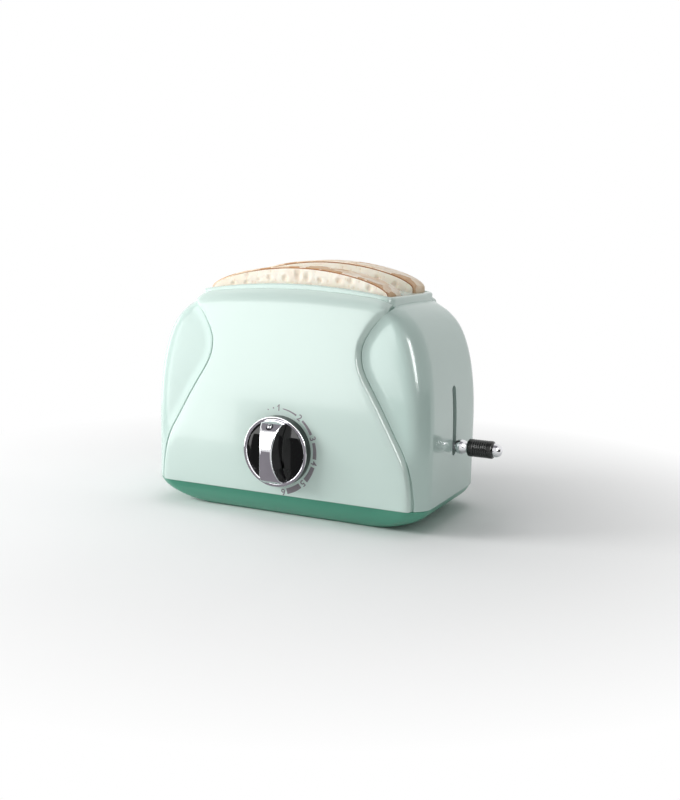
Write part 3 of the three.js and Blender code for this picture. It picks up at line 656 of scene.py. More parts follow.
def curve_at(knots: Sequence[Flat], place: float) -> float:
    """Gives the height of a smooth curve through knots.

    Args:
        knots: places in rising order with their heights.
        place: where the curve is read, between the first and the last knot.

    Returns:
        The height.
    """
    last = len(knots) - 1
    i = next((i for i in range(last) if place <= knots[i + 1][0]), last - 1)
    before, low, high, after = knots[max(i - 1, 0)], knots[i], knots[i + 1], knots[min(i + 2, last)]
    span = high[0] - low[0]
    t = (place - low[0]) / span
    slope_low = (high[1] - before[1]) / (high[0] - before[0]) * span
    slope_high = (after[1] - low[1]) / (after[0] - low[0]) * span
    return ((2 * t ** 3 - 3 * t ** 2 + 1) * low[1] + (t ** 3 - 2 * t ** 2 + t) * slope_low
            + (-2 * t ** 3 + 3 * t ** 2) * high[1] + (t ** 3 - t ** 2) * slope_high)


def crossing(low: float, high: float, beyond: Callable[[float], bool]) -> float:
    """Finds where a condition starts to hold.

    Args:
        low: a value where it doesn't hold.
        high: a value where it holds.
        beyond: the condition.

    Returns:
        The last value below the crossing.
    """
    for _ in range(40):
        middle = (low + high) / 2
        if beyond(middle):
            high = middle
        else:
            low = middle
    return low


def rounded(profile: Sequence[Point], steps: int = 5) -> list[Flat]:
    """Rounds the corners of a profile.

    Args:
        profile: two coordinates and the rounding radius of each corner.
        steps: how many pieces a rounding has.

    Returns:
        The points of the rounded profile.
    """
    result: list[Flat] = []
    for i, (x, y, radius) in enumerate(profile):
        if radius <= 0 or i in (0, len(profile) - 1):
            result.append((x, y))
            continue
        here = Vector((x, y))
        before = Vector(profile[i - 1][:2]) - here
        after = Vector(profile[i + 1][:2]) - here
        reach = min(radius, before.length * 0.49, after.length * 0.49)
        start = here + before.normalized() * reach
        end = here + after.normalized() * reach
        for k in range(steps + 1):
            t = k / steps
            spot = start * (1 - t) ** 2 + here * 2 * t * (1 - t) + end * t ** 2
            result.append((spot.x, spot.y))
    return result


def rounded_box(half_x: float, half_y: float, radius: float, steps: int, centre: float = 0.0) -> list[Flat]:
    """Gives a rounded rectangle.

    Args:
        half_x: half its length.
        half_y: half its width.
        radius: its corner radius.
        steps: how many pieces a corner has.
        centre: its middle along Y.

    Returns:
        Its points, counter-clockwise.
    """
    points = []
    for corner, (sx, sy) in enumerate(((1, 1), (-1, 1), (-1, -1), (1, -1))):
        for i in range(steps + 1):
            angle = math.pi / 2 * (corner + i / steps)
            points.append((
                sx * (half_x - radius) + radius * math.cos(angle),
                centre + sy * (half_y - radius) + radius * math.sin(angle),
            ))
    return points


def ball_profile(radius: float, count: int = 25) -> list[Flat]:
    """Gives the first points of a half circle in 24 steps, for a turned ball."""
    angles = [math.pi * i / 24 for i in range(count)]
    return [(max(radius * math.sin(angle), TIP), -radius * math.cos(angle)) for angle in angles]


def loft(loops: Sequence[Sequence[Point]], close_end: bool = True) -> Surface:
    """Joins closed loops of equal count into a surface.

    Args:
        loops: rings of points in order, the first of which is filled.
        close_end: whether the last ring is filled too.

    Returns:
        The points and the faces.
    """
    count = len(loops[0])
    points = [point for loop in loops for point in loop]
    faces: list[list[int]] = []
    for start in range(0, (len(loops) - 1) * count, count):
        for i in range(count):
            after = (i + 1) % count
            faces.append([start + i, start + after, start + count + after, start + count + i])
    faces.append(list(range(count))[::-1])
    if close_end:
        faces.append(list(range(len(points) - count, len(points))))
    return points, faces


def wall(outer: Sequence[Sequence[Point]], inner: Sequence[Sequence[Point]]) -> Surface:
    """Closes two grids of points of equal size into one shell.

    Args:
        outer: rows of points on the outside.
        inner: rows of points on the inside.

    Returns:
        The points and the faces.
    """
    rows, columns = len(outer), len(outer[0])
    points = [point for grid in (outer, inner) for row in grid for point in row]
    shift = rows * columns
    faces: list[list[int]] = []
    for r in range(rows - 1):
        for c in range(columns - 1):
            a = r * columns + c
            faces.append([a, a + 1, a + columns + 1, a + columns])
            faces.append([shift + a + columns, shift + a + columns + 1, shift + a + 1, shift + a])
    border = list(range(columns))
    border += [r * columns + columns - 1 for r in range(1, rows)]
    border += [(rows - 1) * columns + c for c in range(columns - 2, -1, -1)]
    border += [r * columns for r in range(rows - 2, 0, -1)]
    for i, a in enumerate(border):
        b = border[(i + 1) % len(border)]
        faces.append([b, a, a + shift, b + shift])
    return points, faces


def upright(u: float, v: float, w: float) -> Point:
    """Lays a turned body's axis along Z."""
    return (u, v, w)


def turned(profile: Sequence[Flat], steps: int, place: Place, close_end: bool = True) -> Surface:
    """Turns a profile about an axis.

    Args:
        profile: radius and place along the axis, from one end of the axis to the other.
        steps: how many points go round.
        place: lays radius-cosine, radius-sine and the place along the axis into the model.
        close_end: whether the last ring is filled.

    Returns:
        The points and the faces.
    """
    angles = [2 * math.pi * i / steps for i in range(steps)]
    loops = [[place(radius * math.cos(angle), radius * math.sin(angle), along) for angle in angles]
             for radius, along in profile]
    return loft(loops, close_end)


def linked(name: str, data: bpy.types.ID) -> Object:
    """Puts a new object into the scene.

    Args:
        name: its name.
        data: its mesh, curve, lamp or camera.

    Returns:
        The object.
    """
    obj = bpy.data.objects.new(name, data)
    bpy.context.scene.collection.objects.link(obj)
    return obj


def smooth(mesh: bpy.types.Mesh, angle: float) -> None:
    """Shades a mesh smooth, but for edges sharper than an angle in degrees."""
    mesh.shade_smooth()
    mesh.set_sharp_from_angle(angle=math.radians(angle))


def settle(mesh: bpy.types.Mesh, angle: float = CREASE, weld: float = 1e-6) -> None:
    """Merges doubles, turns the faces outwards and smooths the shading.

    Args:
        mesh: the mesh.
        angle: edges sharper than this many degrees stay sharp.
        weld: how close two corners lie to be merged, in metres.
    """
    work = bmesh.new()
    work.from_mesh(mesh)
    bmesh.ops.remove_doubles(work, verts=work.verts, dist=weld)
    bmesh.ops.dissolve_degenerate(work, dist=weld / 4, edges=work.edges)
    bmesh.ops.recalc_face_normals(work, faces=work.faces)
    work.to_mesh(mesh)
    work.free()
    smooth(mesh, angle)
    mesh.update()


def add_mesh(name: str, surface: Surface, finishes: Sequence[Material], angle: float = CREASE,
             picks: Sequence[int] | None = None) -> Object:
    """Makes an object from points in millimetres.

    Args:
        name: the object's name.
        surface: corners in millimetres and the corner numbers of each face.
        finishes: the materials.
        angle: edges sharper than this many degrees stay sharp.
        picks: which material each face takes, the first one by default.

    Returns:
        The new object, closed and with its faces outwards.
    """
    points, faces = surface
    mesh = bpy.data.meshes.new(name)
    mesh.from_pydata([(x * MM, y * MM, z * MM) for x, y, z in points], [], faces)
    for finish in finishes:
        mesh.materials.append(finish)
    if picks is not None:
        mesh.polygons.foreach_set("material_index", picks)
    settle(mesh, angle)
    return linked(name, mesh)


def dress(obj: Object, finish: Material) -> None:
    """Gives an object one finish in place of those it has.

    Args:
        obj: the object.
        finish: the finish.
    """
    obj.data.materials.clear()
    obj.data.materials.append(finish)


def baked(obj: Object) -> Object:
    """Turns an object with modifiers, a curve or a text into a plain mesh.

    Args:
        obj: the object.

    Returns:
        The same object, or a new one of the same name where it was a curve or a text.
    """
    graph = bpy.context.evaluated_depsgraph_get()
    graph.update()
    result = bpy.data.meshes.new_from_object(obj.evaluated_get(graph), depsgraph=graph)
    old, name = obj.data, obj.name
    if not isinstance(old, bpy.types.Mesh):
        bpy.data.objects.remove(obj)
        return linked(name, result)
    obj.modifiers.clear()
    obj.data = result
    result.name = name
    bpy.data.meshes.remove(old)
    return obj


def cut(obj: Object, tool: Object, angle: float) -> None:
    """Cuts one closed object out of another and removes the tool.

    Args:
        obj: the object that is cut.
        tool: the shape that is taken away, whose own finish stays on the cut.
        angle: edges sharper than this many degrees stay sharp.
    """
    modifier = obj.modifiers.new("cut", "BOOLEAN")
    modifier.operation = "DIFFERENCE"
    modifier.solver = "EXACT"
    modifier.object = tool
    if tool.data.materials:
        modifier.material_mode = "TRANSFER"
    baked(obj)
    bpy.data.objects.remove(tool)
    smooth(obj.data, angle)


def bore(obj: Object, radius: float, span: Flat, place: Place, angle: float) -> None:
    """Cuts a round hole.

    Args:
        obj: the object that is cut.
        radius: the hole's radius.
        span: where it starts and ends along its axis.
        place: lays the hole into the model.
        angle: edges sharper than this many degrees stay sharp.
    """
    surface = turned([(radius, along) for along in span], 32, place)
    cut(obj, add_mesh("bore", surface, []), angle)


def joined(name: str, pieces: Sequence[Object], angle: float = 40.0) -> Object:
    """Puts the meshes of several objects of one finish into one.

    Args:
        name: the new object's name.
        pieces: the objects, which are removed.
        angle: edges sharper than this many degrees stay sharp.

    Returns:
        The joined object.
    """
    mesh = bpy.data.meshes.new(name)
    mesh.materials.append(pieces[0].data.materials[0])
    work = bmesh.new()
    for piece in pieces:
        work.from_mesh(piece.data)
        bpy.data.objects.remove(piece)
    work.to_mesh(mesh)
    work.free()
    smooth(mesh, angle)
    return linked(name, mesh)


def finish_piece(obj: Object, body: Body, slot: Slot, *nodes: str) -> Object:
    """Ties a finished piece to its body and hides the solids that it stands for.

    Args:
        obj: the piece.
        body: the body that it moves with.
        slot: its material slot; not used.
        nodes: the solids that it replaces.

    Returns:
        The same piece.
    """
    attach(obj, body.value)
    if nodes:
        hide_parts(*nodes)
    LOG.info("%s: %d faces, rides on %s", obj.name, len(obj.data.polygons), body.value)
    return obj


# Shell


@dataclass(frozen=True)
class Ring:
    """One level ring of the body: half length and width, height at its end and middle, and its lift."""

    reach: float
    depth: float
    end: float
    middle: float
    lift: float


@dataclass(frozen=True)
class BodyForm:
    """The rounded body that all shell pieces are cut from; curves and wave are shares of its sizes."""

    half_length: float = 94.0
    half_depth: float = 48.0
    bottom: float = 15.0
    height: float = 123.0
    corner: float = 13.0
    crown_start: float = 0.75
    lean_limit: float = 1.2
    end_curve: tuple[Flat, ...] = ((1, 0.27), (1, 0.65), (0.947, 0.886), (0.702, 0.96))
    side_curve: tuple[Flat, ...] = ((1, 0.244), (0.99, 0.57), (0.958, 0.79), (0.896, 0.919))
    crown_curve: tuple[Flat, ...] = ((0.896, 0.919), (0.8765, 0.9595), (0.872, 0.9665), (0.72, 1))
    wave: tuple[Flat, ...] = (
        (-0.1, 0.921), (0, 0.921), (0.055, 0.919), (0.171, 0.896), (0.26, 0.853), (0.362, 0.779),
        (0.455, 0.711), (0.541, 0.644), (0.62, 0.581), (0.677, 0.549), (0.724, 0.54), (0.776, 0.547),
        (0.829, 0.578), (0.88, 0.621), (0.923, 0.67), (0.951, 0.702), (1.2, 0.702),
    )

    def ring(self, t: float) -> Ring:
        """Gives the ring at a level.

        Args:
            t: -1 at the lower edge, 0 where the straight part ends, 1 at the crown.

        Returns:
            The ring.
        """
        up = max(t, 0.0)
        reach, end = cubic(self.end_curve, up)
        if up < self.crown_start:
            depth, middle = cubic(self.side_curve, up / self.crown_start)
        else:
            depth, middle = cubic(self.crown_curve, (up - self.crown_start) / (1 - self.crown_start))
        share = self.height * (1 + min(t, 0.0))
        return Ring(self.half_length * reach, self.half_depth * depth, self.bottom + share * end,
                    self.bottom + share * middle, up ** 3)

    def quarter(self, ring: Ring, grow: float) -> Point:
        """Gives the path lengths of a quarter of a ring.

        Args:
            ring: the ring.
            grow: how far it is grown outwards.

        Returns:
            Where the corner starts, where it ends, and the path's length up to the middle of the end.
        """
        flat = ring.reach - self.corner
        arc = (self.corner + grow) * math.pi / 2
        return flat, flat + arc, flat + arc + ring.depth - self.corner

    def spot(self, ring: Ring, path: float, base: float, grow: float, inset: float = 0.0) -> Point:
        """Gives a point of the front right quarter, or past its end of the back right quarter.

        Args:
            ring: the ring.
            path: path length from the middle of the front, on the ring grown by the base.
            base: the growth that the path is measured on.
            grow: the growth of the point itself.
            inset: how far the plan shrinks without a change of height.

        Returns:
            The point, left of the middle where the path is negative.
        """
        flat, arc_end, full = self.quarter(ring, base)
        mirror = 1.0
        if path > full:
            path = 2 * full - path
            mirror = -1.0
        sign = math.copysign(1.0, path)
        path = abs(path)
        round_by = self.corner + grow - inset
        core = ring.depth - self.corner
        if path <= flat:
            x, y = path, -(core + round_by)
        elif path <= arc_end:
            angle = (path - flat) / (self.corner + base)
            x, y = flat + round_by * math.sin(angle), -(core + round_by * math.cos(angle))
        else:
            x, y = flat + round_by, -(full - path)
        drop = (ring.middle - ring.end) * (x / (ring.reach + grow)) ** 2
        return (sign * x, mirror * y, ring.middle - drop + ring.lift * grow)

    def wave_at(self, z: float) -> float:
        """Gives the seam's distance from the middle at a height.

        Args:
            z: the height.

        Returns:
            The distance, the same below the first and above the last point of the wave.
        """
        share = min(max((z - self.bottom) / self.height, self.wave[1][0]), self.wave[-2][0])
        return self.half_length * curve_at(self.wave, share)

    def seam_path(self, ring: Ring, grow: float, limit: float) -> Flat:
        """Finds where a ring crosses the seam.

        Args:
            ring: the ring.
            grow: how far it is grown.
            limit: depth at which the seam's region ends near the collar.

        Returns:
            The path length at the crossing and how much the seam leans there, 1 where it is upright.
        """
        def beyond(path: float) -> bool:
            """Tells whether a place on the ring lies past the seam."""
            x, y, z = self.spot(ring, path, grow, grow)
            return x > self.wave_at(z) or y > -limit

        path = crossing(0.0, self.quarter(ring, grow)[2], beyond)
        z = self.spot(ring, path, grow, grow)[2]
        slope = (self.wave_at(z + 1) - self.wave_at(z - 1)) / 2
        return path, math.sqrt(1 + min(abs(slope), self.lean_limit) ** 2)

    def face_depth(self, x: float, z: float, grow: float) -> float:
        """Finds how deep the front face lies at a place.

        Args:
            x: place along the length.
            z: height.
            grow: growth of the face.

        Returns:
            The Y coordinate of the front face there.
        """
        def beyond(level: float) -> bool:
            """Tells whether the face at a level has reached the height."""
            ring = self.ring(level)
            return ring.middle - (ring.middle - ring.end) * (x / (ring.reach + grow)) ** 2 >= z

        return -(self.ring(crossing(-1.0, 0.95, beyond)).depth + grow)


def level_steps(high: int, low: int = 11) -> list[float]:
    """Gives the levels of the rows from the lower edge to the crown.

    Args:
        high: rows of the curved part.
        low: rows of the straight part.

    Returns:
        Levels from -1 to 1, closer together at the lower edge.
    """
    start = [-1.0, -0.998, -0.992, -0.982, -0.968]
    straight = [-0.96 + 0.96 * i / low for i in range(1, low + 1)]
    return start + straight + [i / high for i in range(1, high + 1)]


def stations(start: float, end: float, lean: float, near: Sequence[float], count: int) -> list[Flat]:
    """Spreads the points of a row, closer together near both of its seams.

    Args:
        start: path length at the first seam.
        end: path length at the second seam.
        lean: how much the seams lean, 1 where they are upright.
        near: distances of the close points from a seam.
        count: pieces of the part between.

    Returns:
        Path lengths with their distances from the nearer seam.
    """
    first, last = start + near[-1] * lean, end - near[-1] * lean
    middle = [blend(first, last, i / count) for i in range(1, count)]
    result = [(start + d * lean, d) for d in near]
    result += [(path, min(path - start, end - path) / lean) for path in middle]
    return result + [(end - d * lean, d) for d in reversed(near)]


def quarter_drop(distance: float, radius: float, drop: float) -> float:
    """Gives how far a rounded edge falls away.

    Args:
        distance: distance from the edge.
        radius: width of the rounding.
        drop: the fall at the edge itself.

    Returns:
        The fall.
    """
    if distance >= radius:
        return 0.0
    return drop * (1 - math.sqrt(max(0.0, 1 - (1 - distance / radius) ** 2)))


@dataclass
class Shell:
    """Front and back panels standing proud of two end caps along a wavy seam."""

    finishes: Finishes
    form: BodyForm = BodyForm()
    step: float = 2.0
    thickness: float = 2.2
    flange: float = 4.0
    crease: float = 50.0
    seam_half: float = 0.07
    gap_left: float = 0.07
    gap_right: float = 0.45
    taper_start: float = 0.8
    taper_end: float = 0.35
    flank: float = 2.2
    flank_drop: float = 2.95
    flank_drop_high: float = 2.1
    flank_round: float = 0.8
    dish: float = 1.8
    dish_width: float = 30.0
    dish_high: float = 60.0
    dish_foot: float = 0.5
    runout: float = 1.5
    runout_width: float = 6.5
    roll: float = 7.0
    roll_drop: float = 0.9
    roll_foot: float = 0.25
    roll_top: float = 1.75
    roll_high: float = 92.0
    roll_low: float = 58.0
    cap_roll: float = 0.35
    limit: float = 33.1
    lip_reach: float = 3.0
    lip_low: float = 3.6
    lip_high: float = 2.15
    lip_columns: int = 8
    lip_levels: int = 42
    foot_round: float = 1.0
    foot_tuck: float = 0.8
    spindle: float = 4.5
    spindle_span: Flat = (-60.0, -40.0)
    slot_low: float = 41.0
    slot_high: float = 84.0
    slot_width: float = 6.4
    slot_span: Flat = (80.0, 110.0)
    slot_steps: int = 23
    levels: int = 84
    panel_inset: float = 3.2
    panel_columns: int = 46
    panel_near: tuple[float, ...] = (
        0.0, 0.4, 0.8, 1.1, 1.4, 1.7, 2.0, 2.3, 2.5, 2.65, 2.8, 2.95, 3.1, 3.25, 3.4, 3.55, 3.9, 4.6, 5.6,
        6.8, 8.2,
    )
    cap_inset: float = 1.7
    cap_columns: int = 64
    cap_near: tuple[float, ...] = (
        0.0, 0.03, 0.09, 0.18, 0.28, 0.4, 0.8, 1.5, 2.3, 3.2, 4.2, 5.3, 6.5, 7.7, 9.0, 10.5,
    )

    def foot(self, ring: Ring) -> float:
        """Gives how far the lower edge is tucked in at a ring."""
        return quarter_drop(ring.middle - self.form.bottom, self.foot_round, self.foot_round * self.foot_tuck)

    def taper(self, t: float) -> float:
        """Gives the share of the seam's flank that is left near the collar."""
        return blend(1.0, self.taper_end, clamp((t - self.taper_start) / (1 - self.taper_start)))

    def hollow(self, distance: float, z: float, share: float) -> float:
        """Gives how far an end cap is hollowed near the seam, where it runs out of the panel's flank.

        Args:
            distance: distance from the cap's edge.
            z: height.
            share: share that is left near the collar.

        Returns:
            The depth below the cap's face.
        """
        low = clamp((z - self.form.bottom) / (self.dish_high - self.form.bottom))
        dish = self.dish * max(0.0, 1 - distance / self.dish_width) ** 2
        runout = self.runout * max(0.0, 1 - distance / self.runout_width) ** 2
        return (dish - runout) * share * blend(self.dish_foot, 1.0, low)

    def edge_drop(self, distance: float, z: float, share: float) -> float:
        """Gives how far the panel falls off near the seam: a soft roll low down, then a steep flank.

        Args:
            distance: distance from the panel's edge.
            z: height.
            share: share of the flank's width that is left.

        Returns:
            The drop below the panel's face.
        """
        low = clamp((self.roll_high - z) / (self.roll_high - self.roll_low))
        high = (1.0 - share) / (1.0 - self.taper_end)
        depth = blend(self.roll_drop * blend(self.roll_foot, 1.0, low), self.roll_top, high)
        soft = depth * max(0.0, 1 - distance / self.roll) ** 2
        width, bend = self.flank * share, self.flank_round * share
        slope = (blend(self.flank_drop, self.flank_drop_high, high) - depth) / width
        if distance >= width + bend:
            return soft
        if distance <= width - bend:
            return soft + slope * (width - distance)
        return soft + slope * (width + bend - distance) ** 2 / (4 * bend)

    def skin(self, levels: Sequence[float], inset: float, base: float, flip: Flat,
             row: Callable[[float, Ring], list[Point]]) -> Surface:
        """Makes a wall that follows the body.

        Args:
            levels: the levels of its rows.
            inset: how far one more row at the crown is drawn in, 0 for no such row.
            base: the growth that path lengths are measured on.
            flip: signs for X and Y.
            row: gives a row's path lengths, each with the growth outside and inside.

        Returns:
            The points and the faces.
        """
        grids: tuple[list, list] = ([], [])
        for t, draw in [(t, 0.0) for t in levels] + [(1.0, inset)] * (inset > 0):
            ring = self.form.ring(t)
            spots = row(t, ring)
            for k, grid in enumerate(grids):
                points = [self.form.spot(ring, spot[0], base, spot[1 + k], draw) for spot in spots]
                grid.append([(flip[0] * x, flip[1] * y, z) for x, y, z in points])
        return wall(*grids)

    def panel(self, side: Side) -> Object:
        """Makes one panel with a rolled edge along the seam.

        Args:
            side: front or back.

        Returns:
            The panel.
        """
        def row(t: float, ring: Ring) -> list[Point]:
            """Gives a row of the panel.

            Args:
                t: the row's level.
                ring: the ring at that level.

            Returns:
                Path lengths, each with the growth outside and inside.
            """
            edge, lean = self.form.seam_path(ring, self.step, self.limit)
            edge -= self.seam_half * lean
            face = self.step - self.foot(ring)
            share = self.taper(t)
            return [
                (path, face - self.edge_drop(distance, ring.middle, share),
                 (self.step if distance > self.flange else 0.0) - self.thickness)
                for path, distance in stations(-edge, edge, lean, self.panel_near, self.panel_columns)
            ]

        flip = (-side.value, -side.value)
        surface = self.skin(level_steps(self.levels), self.panel_inset, self.step, flip, row)
        panel = add_mesh(side.choose("shell_front", "shell_back"), surface, [self.finishes.mint], self.crease)
        if side is Side.LOW:
            bore(panel, self.spindle, self.spindle_span, lambda u, v, w: (u, w, KNOB_HEIGHT + v), self.crease)
        return finish_piece(panel, Body.HOUSING, Slot.MINT, side.choose("front_panel", "back_panel"))

    def cap(self, side: Side) -> Object:
        """Makes one end cap from seam to seam round the end.

        Args:
            side: left or right.

        Returns:
            The end cap.
        """
        gap = side.choose(self.gap_left, self.gap_right)

        def row(t: float, ring: Ring) -> list[Point]:
            """Gives a row of the cap.

            Args:
                t: the row's level.
                ring: the ring at that level.

            Returns:
                Path lengths, each with the growth outside and inside.
            """
            start, lean = self.form.seam_path(ring, 0.0, self.limit)
            start += gap * lean
            end = 2 * self.form.quarter(ring, 0.0)[2] - start
            tuck = self.foot(ring)
            share = self.taper(t)
            return [
                (path, -quarter_drop(distance, self.cap_roll, self.cap_roll) - tuck
                 - self.hollow(distance, ring.middle, share), -self.thickness)
                for path, distance in stations(start, end, lean, self.cap_near, self.cap_columns)
            ]

        surface = self.skin(level_steps(self.levels), self.cap_inset, 0.0, (side.value, 1), row)
        # The cap takes the darker copy of the mint, painted shade.
        cap = add_mesh("cap_wall", surface, [self.finishes.mint_end])
        if side is Side.HIGH:
            half = self.slot_width / 2
            ends = []
            for centre, begin in ((self.slot_high - half, 0.0), (self.slot_low + half, math.pi)):
                for i in range(self.slot_steps + 1):
                    angle = begin + math.pi * i / self.slot_steps
                    ends.append((half * math.cos(angle), centre + half * math.sin(angle)))
            loops = [[(x, y, z) for y, z in ends] for x in self.slot_span]
            cut(cap, add_mesh("lever_way", loft(loops), []), self.crease)
        whole = joined(side.choose("shell_left", "shell_right"), [cap, self.lip(side, 1), self.lip(side, -1)])
        return finish_piece(whole, Body.HOUSING, Slot.MINT, side.choose("left_end_cap", "right_end_cap"))

    def lip(self, side: Side, face: int) -> Object:
        """Makes the strip inside an end cap that closes the seam from behind.

        Args:
            side: left or right.
            face: 1 at the front, -1 at the back.

        Returns:
            The strip.
        """
        def row(_: float, ring: Ring) -> list[Point]:
            """Gives a row of the strip.

            Args:
                _: the row's level.
                ring: the ring at that level.

            Returns:
                Path lengths, each with the growth outside and inside.
            """
            start, lean = self.form.seam_path(ring, 0.0, self.limit)
            reaches = [blend(-self.lip_reach, self.lip_reach, i / self.lip_columns)
                       for i in range(self.lip_columns + 1)]
            return [(start + reach * lean, -self.lip_high, -self.lip_low) for reach in reaches]

        surface = self.skin(level_steps(self.lip_levels), 0.0, 0.0, (side.value, face), row)
        # The strip takes the darker copy of the mint too, painted shade.
        return add_mesh("lip", surface, [self.finishes.mint_end])

    def build(self) -> None:
        """Makes the four shell pieces."""
        for side in Side:
            self.panel(side)
            self.cap(side)


# Collar


@dataclass
class Collar:
    """Raised collar round the two bread slots, arched along its length."""

    finishes: Finishes
    length: float = 131.0
    depth: float = 69.0
    corner: float = 5.0
    corner_steps: int = 8
    top: float = 143.0
    drop: float = 5.8
    foot: float = 130.0
    slot_length: float = 123.6
    slot_width: float = 22.0
    slot_centre: float = 20.0
    slot_corner: float = 1.2
    edge: float = 1.1
    band: float = 4.0
    crease: float = 40.0

    def build(self) -> Object:
        """Makes the collar from a flat outline with two slots, which is then arched.

        Returns:
            The collar.
        """
        curve = bpy.data.curves.new("collar", "CURVE")
        curve.dimensions = "2D"
        curve.fill_mode = "BOTH"
        curve.extrude = ((self.top - self.foot) / 2 - self.edge) * MM
        curve.bevel_depth = self.edge * MM
        curve.bevel_resolution = 4
        curve.offset = -self.edge * MM
        outlines = [rounded_box(self.length / 2, self.depth / 2, self.corner, self.corner_steps)]
        for side in Side:
            outlines.append(rounded_box(
                self.slot_length / 2, self.slot_width / 2, self.slot_corner, self.corner_steps,
                side.value * self.slot_centre,
            ))
        for points in outlines:
            spline = curve.splines.new("POLY")
            spline.points.add(len(points) - 1)
            for target, (x, y) in zip(spline.points, points):
                target.co = (x * MM, y * MM, 0, 1)
            spline.use_cyclic_u = True
        collar = baked(linked("collar", curve))
        work = bmesh.new()
        work.from_mesh(collar.data)
        bmesh.ops.remove_doubles(work, verts=work.verts, dist=1e-6)
        steps = int(self.length / self.band)
        for i in range(1, steps):
            x = (-self.length / 2 + self.length * i / steps) * MM
            geometry = work.verts[:] + work.edges[:] + work.faces[:]
            bmesh.ops.bisect_plane(work, geom=geometry, plane_co=(x, 0, 0), plane_no=(1, 0, 0), dist=1e-7)
        for vertex in work.verts:
            share = vertex.co.x / (self.length / 2 * MM)
            vertex.co.z += ((self.top + self.foot) / 2 - self.drop * share ** 2) * MM
        work.to_mesh(collar.data)
        work.free()
        dress(collar, self.finishes.mint)
        settle(collar.data, self.crease)
        return finish_piece(collar, Body.HOUSING, Slot.MINT, "slot_rim")


# Base


@dataclass(frozen=True)
class ScrewPlan:
    """Where the tray screws sit, how wide their heads are and how high the heads' seats lie."""

    x: float = 52.0
    y: float = 24.0
    radius: float = 3.0
    seat: float = 2.8


@dataclass
class BaseTray:
    """Boat-shaped tray under the body, with four sunk screws; its curves are shares of its sizes."""

    finishes: Finishes
    plan: ScrewPlan = ScrewPlan()
    reach: float = 92.8
    depth: float = 48.4
    corner: float = 13.0
    corner_steps: int = 14
    height: float = 15.0
    wall: float = 3.0
    floor: float = 4.0
    middle: float = 24.0
    play: float = 0.3
    crease: float = 40.0
    reach_curve: tuple[Flat, ...] = ((0.0, 0.745), (0.3, 0.875), (0.65, 0.965), (1.0, 1.0))
    depth_curve: tuple[Flat, ...] = ((0.0, 0.775), (0.3, 0.875), (0.65, 0.95), (1.0, 1.0))
    foot: tuple[Flat, ...] = ((1.6, 0.0), (0.7, 0.15), (0.0, 0.75))
    outer_steps: int = 14
    outer_span: Flat = (0.05, 0.96)
    inner_steps: int = 5
    inner_span: Flat = (0.35, 0.95)

    def loop(self, share: float, inset: float, z: float) -> list[Point]:
        """Gives one ring of the tray.

        Args:
            share: share of the height that gives the size.
            inset: how far it is shrunk.
            z: its height.

        Returns:
            The ring's points.
        """
        reach = self.reach * curve_at(self.reach_curve, share) - inset
        depth = self.depth * curve_at(self.depth_curve, share) - inset
        radius = max(self.corner - inset / 2, 1.0)
        return [(x, y, z) for x, y in rounded_box(reach, depth, radius, self.corner_steps)]

    def build(self) -> Object:
        """Makes the tray, ring by ring up the outside and down the inside.

        Returns:
            The tray.
        """
        loops = [self.loop(0.0, self.middle, 0.0)] + [self.loop(0.0, inset, z) for inset, z in self.foot]
        for i in range(1, self.outer_steps + 1):
            share = blend(*self.outer_span, i / self.outer_steps)
            loops.append(self.loop(share, 0.0, self.height * share))
        loops += [self.loop(0.985, 0.1, self.height - 0.2), self.loop(1.0, 0.5, self.height),
                  self.loop(1.0, self.wall, self.height)]
        for i in range(self.inner_steps, -1, -1):
            share = blend(*self.inner_span, i / self.inner_steps)
            loops.append(self.loop(share, self.wall, max(self.floor, self.height * share)))
        loops.append(self.loop(0.0, self.middle, self.floor))
        tray = add_mesh("base", loft(loops), [self.finishes.green], self.crease)
        for sx in Side:
            for sy in Side:
                x, y = sx.value * self.plan.x, sy.value * self.plan.y
                bore(tray, self.plan.radius + self.play, (-1.0, self.plan.seat),
                     lambda u, v, w, x=x, y=y: (x + u, y + v, w), self.crease)
        return finish_piece(tray, Body.HOUSING, Slot.GREEN, "base_tray")


